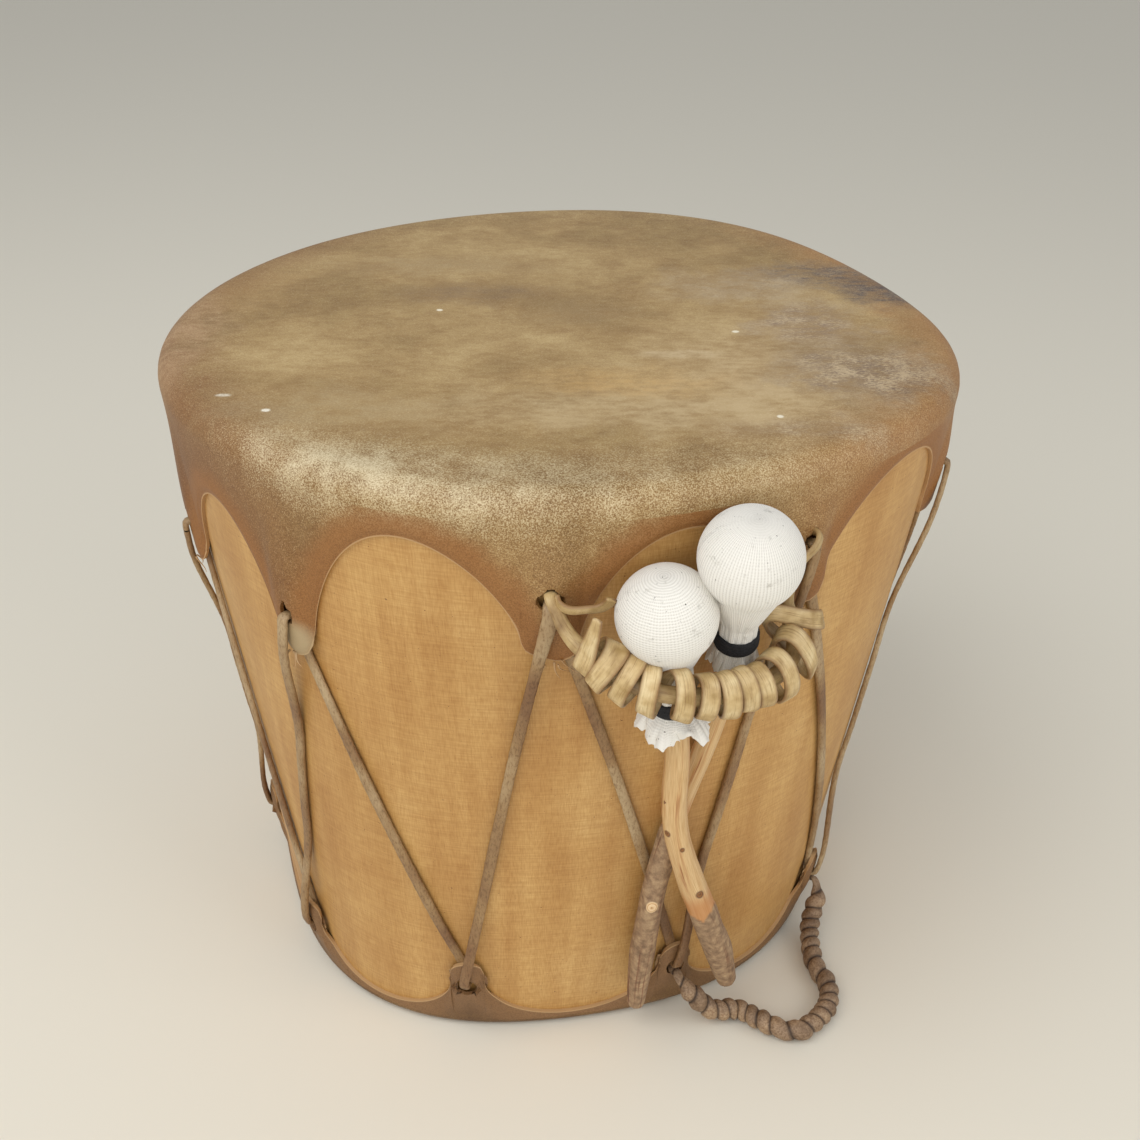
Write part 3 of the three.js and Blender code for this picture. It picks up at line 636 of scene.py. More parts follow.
def distances(points):
    """How far along a line each of its points lies."""
    return np.concatenate([[0], np.cumsum(np.linalg.norm(np.diff(points, axis=0), axis=1))])


def evenly(points, values, count):
    """Even distances along a line, and the values there of what is known at its points."""
    even = np.linspace(0, distances(points)[-1], count)
    return even, np.stack([np.interp(even, distances(points), column) for column in values.T], axis=1)


def smooth_line(points, count):
    """Places at even steps on a smooth line through the points."""
    points = np.asarray(points, float)
    points = np.vstack([2 * points[0] - points[1], points, 2 * points[-1] - points[-2]])
    share = np.linspace(0, 1, 16, endpoint=False)[:, None]
    pieces = []
    for a, b, c, d in zip(points, points[1:], points[2:], points[3:]):
        first, second, third = (math.sqrt(np.linalg.norm(q - p)) for p, q in ((a, b), (b, c), (c, d)))
        leave = second * ((b - a) / first - (c - a) / (first + second) + (c - b) / second)
        arrive = second * ((c - b) / second - (d - b) / (second + third) + (d - c) / third)
        cubic = 2 * b - 2 * c + leave + arrive
        square = 3 * c - 3 * b - 2 * leave - arrive
        pieces.append(b + share * (leave + share * (square + share * cubic)))
    line = np.vstack([*pieces, points[-2]])
    return evenly(line, line, count)[1]


def flattened(swing, power):
    """A wave with fuller tops, for sections with flat sides and round edges."""
    return np.sign(swing) * np.abs(swing) ** power


def frames_along(line, hints):
    """The directions across, out of and along a line. One hint is carried on, and several are taken as given."""
    along = np.gradient(line, axis=0)
    along /= np.linalg.norm(along, axis=1)[:, None]
    across = np.empty_like(along)
    hint = hints[0]
    for index, forward in enumerate(along):
        if len(hints) > 1:
            hint = hints[index]
        hint = hint - forward * np.dot(hint, forward)
        hint = hint / np.linalg.norm(hint)
        across[index] = hint
    return across, np.cross(along, across), along


def swept(name, line, hints, sides, section, capped=True):
    """A closed form along a line. section gives its half sizes across and out, and marks for its finish."""
    across, out, _ = frames_along(line, hints)
    last = len(line) - 1

    def place(columns, rows):
        turn = columns / sides * 2 * math.pi
        share = rows / last
        wide, thick, marks = section(turn, share)
        if capped:
            end = (rows > 0) & (rows < last)
            wide = wide * end
            thick = thick * end
        return line[rows] + across[rows] * wide[:, None] + out[rows] * thick[:, None], marks

    return gridded(name, sides, last, place, closed=capped)


def lace_stations():
    """The lace's places as angles, heights and distances off the wood."""
    stations = []
    turn_off = HIDE / 2 + 2 * CLEARANCE
    turn_depth = CLEARANCE + LACE_THICKNESS * TURN_BEND
    turn = [(BESIDE_HIDE, -CLEARANCE), (turn_off, turn_depth), (-turn_off, turn_depth), (-BESIDE_HIDE, -CLEARANCE)]
    following = [*UPPER_TONGUES[1:], (UPPER_TONGUES[0][0] + 360, *UPPER_TONGUES[0][1:])]
    for upper, lower, after in zip(UPPER_TONGUES, LOWER_TONGUES, following):
        top = HEIGHT - upper[2] - PART_HOLE_RADIUS
        foot = lower[2] + PART_HOLE_RADIUS
        next_top = HEIGHT - after[2] - PART_HOLE_RADIUS
        stations += [(upper[0], top + into, HIDE_MIDDLE + off) for off, into in turn]
        for height in np.linspace(top, foot, DOWN_STEPS + 1)[1:-1]:
            share = (height - top) / (foot - top)
            stations.append((upper[0] + (lower[0] - upper[0]) * share, height, ON_WOOD))
        stations += [(lower[0], foot - into, HIDE_MIDDLE + off) for off, into in reversed(turn)]
        leave = lower[1]
        arrive = HEIGHT - after[1]
        between = np.linspace(leave + TIP_STEP, arrive - TIP_STEP, UP_STEPS + 1)
        heights = [(leave + TIP_OVER, OVER_TONGUE), *((height, ON_WOOD) for height in between),
                   (arrive - TIP_OVER, OVER_TONGUE)]
        for height, off in heights:
            share = (height - foot) / (next_top - foot)
            stations.append((lower[0] + (after[0] - lower[0]) * share, height, off))
    angle, height, off = stations[0]
    stations.append((angle + 360, height, off))
    return np.array(stations)


stations = lace_stations()
lace_line = smooth_line(beside(*stations.T), LACE_STATIONS)
lace_angles = np.degrees(np.unwrap(np.arctan2(lace_line[:, 0] - LEAN * MM / 2, -lace_line[:, 1])))
lace_hints = np.stack([np.cos(np.radians(lace_angles)), np.sin(np.radians(lace_angles)), 0 * lace_angles], axis=1)

# It is cut a little wider where it lies over the front tongue.
front_hole = beside(UPPER_TONGUES[2][0], HEIGHT - UPPER_TONGUES[2][2] - 12, OVER_TONGUE)
front_share = np.linalg.norm(lace_line - front_hole, axis=1).argmin() / (LACE_STATIONS - 1)
WIDE_REACH = 0.0032


def lace_section(turn, share):
    """A flat strip with worn round edges, cut a little wider here and narrower there."""
    slow = np.sin(share * 171) * 0.5 + np.sin(share * 397 + 1) * 0.5
    quick = np.sin(share * 2903 + turn * 2) * 0.5 + np.sin(share * 4700 - turn * 3) * 0.5
    cut_wide = 0.22 * np.exp(-((share - front_share) / WIDE_REACH) ** 2)
    wide = LACE_WIDTH / 2 * (0.96 + 0.07 * slow + 0.03 * quick + cut_wide)
    thick = LACE_THICKNESS / 2 * (0.96 + 0.05 * slow + 0.05 * quick)
    return wide * MM * flattened(np.cos(turn), 0.6), thick * MM * flattened(np.sin(turn), 0.7), {}


lacing = swept("rawhide_lace", lace_line, lace_hints, LACE_SIDES, lace_section, capped=False)

# Dried rawhide strip: greyish tan where its flesh side is out, browner and half clear where it was wet.
lace_hide, tree, shader, coordinates = new_material("dried_rawhide_lace")
lengths = add(tree, "Mapping", {"Vector": coordinates, "Scale": (1, 1, 0.35)})
grain = add(tree, "TexNoise", {"Vector": lengths, "Scale": 1 / (LACE_GRAIN * MM), "Detail": 4, "Roughness": 0.7})
stretch = add(tree, "TexNoise", {"Vector": coordinates, "Scale": 1 / (LACE_CLOUD * MM), "Detail": 4})
tone = add(tree, "ValToRGB", {"Fac": stretch}, [(0.37, "#7f5c3b"), (0.5, "#9b7c54"), (0.62, "#b49c78")])
specks = add(tree, "ValToRGB", {"Fac": grain}, [(0.33, "#b3a085"), (0.5, "#f3efe8"), (0.7, "#ffffff")])
colour = add(tree, "MixRGB", {"Fac": 0.85, "Color1": tone, "Color2": specks}, blend_type="MULTIPLY")
relief = add(tree, "Bump", {"Height": grain, "Strength": 0.6, "Distance": 0.35 * MM})
plug(tree, shader, {"Base Color": colour, "Roughness": 0.5, "Normal": relief})
lacing.data.materials.append(lace_hide)
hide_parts("lacing")
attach(lacing, "root")


# The upper handle is a rawhide core from one hole to the next, with a broad strip of rawhide wound round it in
# loose turns. The ends of the core and a spare tail of it pass out through the holes.
STRAP_WIDTH = 5.6
STRAP_THICKNESS = 2.6
CORE_DIAMETER = 7.6
UPPER_STRAP_SHARE = 0.17
OVER_LACE = OVER_TONGUE + (LACE_THICKNESS + STRAP_THICKNESS) / 2 + CLEARANCE
UPPER_HANDLE = [
    (0.6, 48.5, OVER_LACE), (1.6, 55, 16), (3.2, 61, 21), (5.5, 65.5, 26), (8.2, 72, 32.5),
    (10.8, 76, 37), (14.1, 79.5, 39), (17.7, 83, 39), (21.5, 84.5, 37), (25.3, 84.5, 34),
    (28.4, 82, 29), (30, 77, 23.5), (30.3, 70, 17.5), (30, 62, 12.8), (30.4, 53, 10.8),
    (31.6, 44, 11), (33.2, 38.5, OVER_LACE),
]
HANDLE_PLACES = 160


def strap_in_hole(tongue, face_up):
    """Where a handle's end lies in a hole, from the wood to the front of the tongue."""
    past = tongue[2] - PART_HOLE_RADIUS / 2
    height = HEIGHT - past if face_up else past
    return [beside(tongue[0], height, ON_WOOD), beside(tongue[0], height, OVER_TONGUE)]


def below_top(angle, depth, off):
    """A place beside the drum, given by its depth below the playing face."""
    return beside(angle, HEIGHT - depth, off)


def roundness(share, growth):
    """How far a handle has grown from the flat strip at its ends to its round middle."""
    return smoothstep(np.minimum(share, 1 - share), growth * 0.4, growth)


upper_route = [
    *strap_in_hole(UPPER_TONGUES[2], True),
    *(below_top(*place) for place in UPPER_HANDLE),
    *reversed(strap_in_hole(UPPER_TONGUES[3], True)),
]
upper_line = smooth_line(upper_route, HANDLE_PLACES)


def core_section(turn, share):
    """Flat at the ends and round in the middle, with the creases of dried rawhide."""
    grown = roundness(share, UPPER_STRAP_SHARE)
    crease = 1 + 0.04 * np.sin(5 * turn + 30 * share) + 0.03 * np.sin(2 * turn - 55 * share)
    wide = (STRAP_WIDTH + (CORE_DIAMETER - STRAP_WIDTH) * grown) / 2 * crease
    thick = (STRAP_THICKNESS + (CORE_DIAMETER - STRAP_THICKNESS) * grown) / 2 * crease
    return wide * MM * np.cos(turn), thick * MM * np.sin(turn), {"across": np.cos(turn) * 0.6, "along": share}


upper_handle = swept("upper_handle_core", upper_line, [np.array([1.0, 0, 0])], 16, core_section)

# The wound strip: one helix of wide turns that overlap like scales. Its first end pokes up in front, a spare
# tail of it lies in the front hole, and its last three turns are loose rings.
STRIP_WIDTH = 8.2
STRIP_THICKNESS = 2
STRIP_TILT = math.radians(11)
WRAP_TALL = 22
WRAP_DEEP = 14.5
STRIP_END = [(4.9, 43, 28), (4.6, 49.4, 28.4), (4.2, 56.5, 28)]
STRIP_TAIL = [
    (0.7, 44.8, 8), (1.1, 46.4, 12), (2.2, 47.6, 14), (3.9, 47.1, 15), (5.6, 46.3, 15.5), (6.4, 44.2, 16),
    (6.8, 41.2, 17),
]
# Each crossing in front has its turn, its share of the core, how far its top leans on, and how loose it is.
CROSSINGS = np.array([
    (-0.75, 0.165, 0, 0.8), (0.25, 0.212, 1.4, 1), (1.25, 0.257, 1.2, 1.04), (2.25, 0.304, 0.6, 1),
    (3.25, 0.378, 0, 1.06), (4.25, 0.428, 0.6, 0.96), (5.25, 0.477, -0.4, 1.02), (6.25, 0.522, -1, 0.97),
    (7.25, 0.561, -1.4, 1.03), (8.25, 0.615, 1, 1.24), (9.25, 0.68, 6, 1.34), (10.25, 0.76, 9, 1.3),
    (10.6, 0.785, 9, 1.3),
])
STRIP_WIDTHS = [(0, 4), (0.012, 6), (0.03, 8.5), (0.06, 11), (0.1, 9.5), (0.14, 8.2), (0.985, 8.2), (1, 5)]
TURN_PLACES = 24
STRIP_PLACES = 950
STRIP_CLOUD = 9


def flat_section(wide, thick):
    """Half sizes of a flat strip with worn round edges, and how far across it each place is."""
    def section(turn, share):
        flat = flattened(np.cos(turn), 0.5)
        reach = wide(share) / 2 * MM * flat
        return reach, thick / 2 * MM * flattened(np.sin(turn), 0.6), {"across": flat, "along": share}

    return section


def wound_strip(name):
    """The strip's line from its poking end and round the core, swept with its wide side along the core."""
    outward = upper_line * (1, 1, 0)
    outward /= np.linalg.norm(outward, axis=1)[:, None]
    _, _, along = frames_along(upper_line, [np.array([1.0, 0, 0])])
    deep = outward - along * (outward * along).sum(axis=1)[:, None]
    deep /= np.linalg.norm(deep, axis=1)[:, None]
    tall = np.cross(deep, along)
    first, last = CROSSINGS[[0, -1], 0]
    wound = np.linspace(first, last, round((last - first) * TURN_PLACES) + 1)
    spread = np.linspace(-0.3, 0.3, 9)[:, None] + wound
    share, lean, loose = (np.interp(spread, CROSSINGS[:, 0], column).mean(axis=0) for column in CROSSINGS.T[1:])
    at = share * (HANDLE_PLACES - 1)
    low = at.astype(int)
    part = (at - low)[:, None]
    middle, deep, tall, along = (
        table[low] * (1 - part) + table[low + 1] * part for table in (upper_line, deep, tall, along)
    )
    angle = wound[:, None] * 2 * math.pi
    uneven = (1 + 0.04 * np.sin(wound * 2.4 + 0.6))[:, None] * loose[:, None]
    upwards = tall * np.cos(angle) * (WRAP_TALL - STRIP_THICKNESS) / 2 * MM * uneven
    forwards = deep * np.sin(angle) * (WRAP_DEEP - STRIP_THICKNESS) / 2 * MM * uneven
    turns = middle + upwards + forwards + along * np.cos(angle) * lean[:, None] * MM
    rising = (upwards + forwards) / np.linalg.norm(upwards + forwards, axis=1)[:, None]
    tilted = along * math.cos(STRIP_TILT) + rising * math.sin(STRIP_TILT)
    end = np.array([below_top(*place) for place in STRIP_END])
    route = np.vstack([end, turns])
    hints = np.vstack([np.repeat(tilted[:1], len(end), axis=0), tilted])
    _, hints = evenly(route, hints, STRIP_PLACES)
    widths = np.array(STRIP_WIDTHS).T
    section = flat_section(lambda share: np.interp(share, *widths) * (1 + 0.05 * np.sin(share * 91)), STRIP_THICKNESS)
    return swept(name, smooth_line(route, STRIP_PLACES), hints, 14, section)


wrap = wound_strip("upper_handle_strip")
tail_line = smooth_line([below_top(*place) for place in STRIP_TAIL], 60)
tail_section = flat_section(lambda share: 4.6 + 0.5 * np.sin(share * 9), 1.9)
tail = swept("strip_tail", tail_line, [np.array([0, 0, 1.0])], 12, tail_section)
joined([tail], wrap)


def strip_rawhide(name, length, light, middle, dark):
    """Rawhide strip with fibres drawn out along it, clouds where it was wet, and grime on its cut edges."""
    material, tree, shader, coordinates = new_material(name)
    across, along = (add(tree, "Attribute", attribute_name=mark).outputs["Fac"] for mark in ("across", "along"))
    on_strip = add(tree, "CombineXYZ", {"X": across, "Y": along})
    lengths = add(tree, "Mapping", {"Vector": on_strip, "Scale": (STRIP_WIDTH / 2, length * 0.06, 1)})
    fibre = add(tree, "TexNoise", {"Vector": lengths, "Scale": 1.4, "Detail": 5, "Roughness": 0.7})
    cloud = add(tree, "TexNoise", {"Vector": coordinates, "Scale": 1 / (STRIP_CLOUD * MM), "Detail": 3})
    tone = add(tree, "ValToRGB", {"Fac": cloud}, [(0.32, dark), (0.5, middle), (0.68, light)])
    fibres = add(tree, "ValToRGB", {"Fac": fibre}, [(0.3, "#b7a283"), (0.5, "#ffffff")])
    colour = add(tree, "MixRGB", {"Fac": 0.85, "Color1": tone, "Color2": fibres}, blend_type="MULTIPLY")
    side = add(tree, "Math", {0: across}, operation="ABSOLUTE")
    frayed = add(tree, "Math", {0: fibre, 1: 0.5, 2: side}, operation="MULTIPLY_ADD")
    edge = add(tree, "MapRange", {"Value": frayed, "From Min": 0.86, "From Max": 1.26, "To Max": 0.8})
    colour = add(tree, "MixRGB", {"Fac": edge, "Color1": colour, "Color2": linear("#7d5630")})
    relief = add(tree, "Bump", {"Height": fibre, "Strength": 0.5, "Distance": 0.35 * MM})
    plug(tree, shader, {"Base Color": colour, "Roughness": 0.46, "Normal": relief})
    return material


upper_handle.data.materials.append(strip_rawhide("core_rawhide", 200, "#c0a674", "#a98c5d", "#896b41"))
wrap.data.materials.append(strip_rawhide("wound_rawhide_strip", 620, "#d9c395", "#c3a775", "#a1834f"))
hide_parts("upper_handle")
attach(upper_handle, "root")
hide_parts("upper_handle_wrap")
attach(wrap, "root")


def line_length(line):
    """The length of a line in metres."""
    return float(np.linalg.norm(np.diff(line, axis=0), axis=1).sum())


# The lower handle is an older one: a rawhide core with a narrow strip wound tightly over it, dark with grime.
# It hangs from the lower hide and lies on the table in a loop.
ROPE_DIAMETER = 11
ROPE_PITCH = 7.6
LOWER_STRAP_SHARE = 0.1
LOWER_HANDLE = [
    (76, -157, 25), (82, -157, 17), (89, -156, 9.5), (103, -153, 6.2), (114, -160, 6.2), (124, -166, 6.2),
    (133, -167, 6.2), (143, -160, 6), (151, -149, 5.6), (153, -136, 5.6), (148.5, -122, 5.6), (148, -109, 6),
    (148.5, -98, 9), (151, -90, 15), (154, -84, 22),
]
ROPE_PLACES = 620
ROPE_GRAIN = 1.1
ROPE_CLOUD = 13
lower_route = [
    *strap_in_hole(LOWER_TONGUES[2], False),
    *(np.array(place) * MM for place in LOWER_HANDLE),
    *reversed(strap_in_hole(LOWER_TONGUES[3], False)),
]
lower_line = smooth_line(lower_route, ROPE_PLACES)
lower_length = line_length(lower_line)


def rope_section(turn, share):
    """Round lumps where the strip winds over the core, flatter at both ends."""
    grown = roundness(share, LOWER_STRAP_SHARE)
    winding = (share * lower_length / MM / ROPE_PITCH + 0.3 * np.sin(share * 23)) * 2 * math.pi
    ridge = np.abs(np.cos((winding - turn) / 2)) ** 0.8
    lump = 1 + 0.025 * np.sin(share * 61) + 0.015 * np.sin(share * 137 + turn)
    swell = (0.74 + 0.26 * ridge) * lump
    wide = (STRAP_WIDTH + (ROPE_DIAMETER - STRAP_WIDTH) * grown) / 2 * swell
    thick = (STRAP_THICKNESS + (ROPE_DIAMETER - STRAP_THICKNESS) * grown) / 2 * swell
    return wide * MM * np.cos(turn), thick * MM * np.sin(turn), {"ridge": ridge}


lower_handle = swept("lower_handle_rope", lower_line, [np.array([1.0, 0, 0])], 20, rope_section)

# Old rawhide strip, handled and dragged over the table: brown grey, and darker in the grooves between its turns.
grimy, tree, shader, coordinates = new_material("grimy_rawhide_rope")
ridge = add(tree, "Attribute", attribute_name="ridge").outputs["Fac"]
grain = add(tree, "TexNoise", {"Vector": coordinates, "Scale": 1 / (ROPE_GRAIN * MM), "Detail": 4, "Roughness": 0.7})
cloud = add(tree, "TexNoise", {"Vector": coordinates, "Scale": 1 / (ROPE_CLOUD * MM), "Detail": 2})
colour = add(tree, "ValToRGB", {"Fac": cloud}, [(0.35, "#7d6349"), (0.5, "#957b60"), (0.65, "#ad9171")])
groove = add(tree, "ValToRGB", {"Fac": ridge}, [(0.1, "#5d4a3a"), (0.55, "#ffffff")])
specks = add(tree, "ValToRGB", {"Fac": grain}, [(0.35, "#b5a390"), (0.6, "#ffffff")])
for layer in (groove, specks):
    colour = add(tree, "MixRGB", {"Fac": 0.9, "Color1": colour, "Color2": layer}, blend_type="MULTIPLY")
relief = add(tree, "Bump", {"Height": grain, "Strength": 0.6, "Distance": 0.35 * MM})
plug(tree, shader, {"Base Color": colour, "Roughness": 0.62, "Normal": relief})
lower_handle.data.materials.append(grimy)
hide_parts("lower_handle")
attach(lower_handle, "root")


# The beaters are peeled branches with some bark left low down. Each has a ball of stuffing in a piece of white
# ribbed knit, drawn together below it and tied with black cloth tape, with a frayed hem left under the tie.
TIE_WIDTH = 9
TIE_THICKNESS = 1.6
STICK_IN_HEAD = 22
COVER_WALL = 1
STICK_BELOW_HEM = 4
FRONT_BEATER = {
    "name": "front_beater",
    "head": (12.9, 49, 21.6),
    "hem": (16.5, 121, 18.6),
    "head_radius": 19.9,
    "neck_radius": 8,
    "neck_from": 28,
    "tie_at": 47,
    "hem_at": 74,
    "torn_at": 62,
    "hem_radius": 15,
    "stick_radius": 5.9,
    "bends": [(17.7, 170, 19.2), (19.8, 198, 20.2), (23.8, 234, 20.6), (28.4, 272, 20.8), (32, 305, 21)],
    "radii": [6.2, 6.6, 7.2, 7.4, 5],
    "bark_from": 0.7,
    "knots": [(0.436, 128, 1.5), (0.48, 76, 1.1), (0.625, 64, 1.9), (0.36, 140, 0.7)],
    "pale_knots": [],
}
BACK_BEATER = {
    "name": "back_beater",
    "head": (21.6, 25.6, 24.4),
    "hem": (23.4, 89, 14),
    "head_radius": 20.3,
    "neck_radius": 7,
    "neck_from": 36,
    "tie_at": 46,
    "hem_at": 65,
    "torn_at": 61,
    "hem_radius": 9.5,
    "stick_radius": 5,
    "bends": [
        (22.6, 142, 7.5), (20.8, 172, 6), (18.7, 201, 8.3), (17.3, 232, 10.6), (16.8, 276, 10.8), (16.8, 316, 11.4),
    ],
    "radii": [5.2, 5.2, 5.6, 6, 6.4, 4.6],
    "bark_from": 0.53,
    "knots": [],
    "pale_knots": [(0.697, 96, 2.7)],
}
WALE = 1.35
COURSE = 1.15
WAVER = 5
FUZZ = 0.5
SMUDGE = 6.5
SPECK = 1.1
SPLIT_TURN = math.radians(252)
KNIT_ROWS = 170
KNIT_SIDES = 144
BALL_END = 130
TAPE_TURNS = 3
TAPE_PLACES = 40
STICK_PLACES = 320
STICK_SIDES = 36
FURROW = 3.5
WEAVE = 0.6


def knit(name, wales, courses):
    """Ribbed cotton knit: the wales run down the ball and the courses run round it."""
    material, tree, shader, coordinates = new_material(name)
    marks = ("around", "down", "torn")
    around, down, torn = (add(tree, "Attribute", attribute_name=mark).outputs["Fac"] for mark in marks)
    waver = add(tree, "TexNoise", {"Vector": coordinates, "Scale": 1 / (WAVER * MM), "Detail": 2})
    fuzz = add(tree, "TexNoise", {"Vector": coordinates, "Scale": 1 / (FUZZ * MM), "Detail": 3})
    smudge = add(tree, "TexNoise", {"Vector": coordinates, "Scale": 1 / (SMUDGE * MM), "Detail": 5, "Roughness": 0.7})
    shifted = add(tree, "Math", {0: waver, 1: 0.9, 2: down}, operation="MULTIPLY_ADD")
    wale_turn = add(tree, "Math", {0: around, 1: 2 * math.pi / WALE}, operation="MULTIPLY")
    course_turn = add(tree, "Math", {0: shifted, 1: 2 * math.pi / COURSE}, operation="MULTIPLY")
    wale = add(tree, "Math", {0: wale_turn}, operation="SINE")
    course = add(tree, "Math", {0: course_turn}, operation="SINE")
    wale_part = add(tree, "Math", {0: wale, 1: wales}, operation="MULTIPLY")
    height = add(tree, "Math", {0: course, 1: courses, 2: wale_part}, operation="MULTIPLY_ADD")
    knitted = add(tree, "MapRange", {"Value": torn, "To Min": 1, "To Max": 0})
    height = add(tree, "Math", {0: height, 1: knitted}, operation="MULTIPLY")
    lit = add(tree, "MapRange", {"Value": height, "From Min": -1, "From Max": 1})
    colour = add(tree, "ValToRGB", {"Fac": lit}, [(0.1, "#d2cdc3"), (0.6, "#e9e5dc")])
    speck = add(tree, "TexNoise", {"Vector": coordinates, "Scale": 1 / (SPECK * MM), "Detail": 2})
    dirt = add(tree, "ValToRGB", {"Fac": smudge}, [(0.6, "#ffffff"), (0.74, "#c0bdb8")])
    specks = add(tree, "ValToRGB", {"Fac": speck}, [(0.71, "#ffffff"), (0.76, "#6b6560")])
    for layer in (dirt, specks):
        colour = add(tree, "MixRGB", {"Fac": 1, "Color1": colour, "Color2": layer}, blend_type="MULTIPLY")
    ribs = add(tree, "Bump", {"Height": height, "Strength": 0.5, "Distance": 0.2 * MM})
    relief = add(tree, "Bump", {"Height": fuzz, "Strength": 0.5, "Distance": 0.2 * MM, "Normal": ribs})
    plug(tree, shader, {"Base Color": colour, "Roughness": 0.92, "Sheen Weight": 0.2, "Normal": relief})
    return material


def beater_line(beater):
    """The straight part of the stick and its bends, as a smooth line from inside the ball to the tip."""
    head = below_top(*beater["head"])
    hem = below_top(*beater["hem"])
    along = (hem - head) / np.linalg.norm(hem - head)
    straight = [head + along * STICK_IN_HEAD * MM, head + along * (beater["hem_at"] + STICK_BELOW_HEM) * MM]
    return head, along, [*straight, *(below_top(*bend) for bend in beater["bends"])]


def neck_of(beater):
    """The radius of the cover at the tie."""
    return max(beater["neck_radius"], beater["stick_radius"] + CLEARANCE + COVER_WALL)


def cover(beater):
    """The knit from the top of the ball down to its frayed hem, gathered at the tie."""
    head, along, _ = beater_line(beater)
    radius = beater["head_radius"]
    neck = neck_of(beater)
    ball_turn = np.radians(np.linspace(0, BALL_END, 40))
    ball = np.stack([radius * np.sin(ball_turn), -radius * np.cos(ball_turn)], axis=1)
    neck_low = beater["tie_at"] + TIE_WIDTH / 2
    outline = np.vstack([ball, [
        (neck, max(beater["neck_from"], ball[-1, 1] + 2)), (neck, neck_low + 0.5),
        (beater["hem_radius"] * 0.85, beater["torn_at"] - 5.5), (beater["hem_radius"], beater["torn_at"]),
    ]])
    even, soft = evenly(outline, outline, KNIT_ROWS + 1)
    kernel = np.hanning(9) / np.hanning(9).sum()
    for axis in range(2):
        padded = np.pad(soft[:, axis], 4, mode="reflect", reflect_type="odd")
        soft[:, axis] = np.convolve(padded, kernel, mode="valid")
    soft[0] = (0, -radius)
    line = head + along * (soft[:, 1, None] * MM)
    hints = [np.cross(along, [0, -1.0, 0.3])]

    def place(columns, rows):
        turn = columns / KNIT_SIDES * 2 * math.pi
        row = KNIT_ROWS - rows
        reach, distance = soft[row].T
        gather = smoothstep(distance, radius * 0.75, neck_low - TIE_WIDTH)
        below = smoothstep(distance, neck_low - 1, beater["torn_at"])
        gathers = np.sin(turn * 9 + 1.3 * np.sin(turn * 2)) * 0.6 + np.sin(turn * 17 + 2) * 0.4
        creased = np.abs(np.sin(turn * 2.5 + 0.9 * below)) + 0.35 * np.abs(np.sin(turn * 5.5 - 1.4 * below)) - 0.8
        reach = reach * (1 + 0.06 * gather * gathers * (1 - below) + below * (0.3 * creased + 0.04 * gathers))
        notch = np.exp(-((turn - SPLIT_TURN) / 0.16) ** 2)
        teeth = 0.9 * np.abs(np.sin(turn * 13 + 1)) + 0.7 * np.sin(turn * 31)
        ragged = below ** 2 * (1.2 * np.sin(turn * 2 + 1) + 0.8 * np.sin(turn * 5) + teeth - 6 * notch)
        across, out, _ = frames_along(line, hints)
        centre = line[row] + along * (ragged * MM)[:, None]
        spot = across[0] * np.cos(turn)[:, None] + out[0] * np.sin(turn)[:, None]
        return centre + spot * (reach * MM)[:, None], {"around": turn * radius, "down": even[row], "torn": below}

    piece = gridded(f"{beater['name']}_knit", KNIT_SIDES, KNIT_ROWS, place, closed=False)
    wall = piece.modifiers.new("knit_thickness", "SOLIDIFY")
    wall.thickness = COVER_WALL * MM
    wall.offset = -1
    bpy.ops.object.modifier_apply(modifier="knit_thickness")
    return piece


def tie(beater):
    """Black cloth tape wound round the neck a few times."""
    head, along, _ = beater_line(beater)
    reach = (neck_of(beater) + CLEARANCE + TIE_THICKNESS / 2) * MM
    hint = np.cross(along, [0, -1.0, 0.3])
    hint /= np.linalg.norm(hint)
    side = np.cross(along, hint)
    count = TAPE_TURNS * TAPE_PLACES + 1
    wound = np.linspace(0, TAPE_TURNS, count)
    slide = (beater["tie_at"] + (wound / TAPE_TURNS - 0.5) * TIE_WIDTH * 0.55) * MM
    angle = wound * 2 * math.pi
    spread = reach * (1 + 0.02 * wound)
    ring = np.cos(angle)[:, None] * hint + np.sin(angle)[:, None] * side
    line = head + along * slide[:, None] + ring * spread[:, None]

    def section(turn, share):
        wide = TIE_WIDTH * 0.24 * np.cos(turn)
        return wide * MM, TIE_THICKNESS / 2 * MM * np.sin(turn), {}

    return swept(f"{beater['name']}_tape", line, np.repeat(along[None], count, axis=0), 10, section)


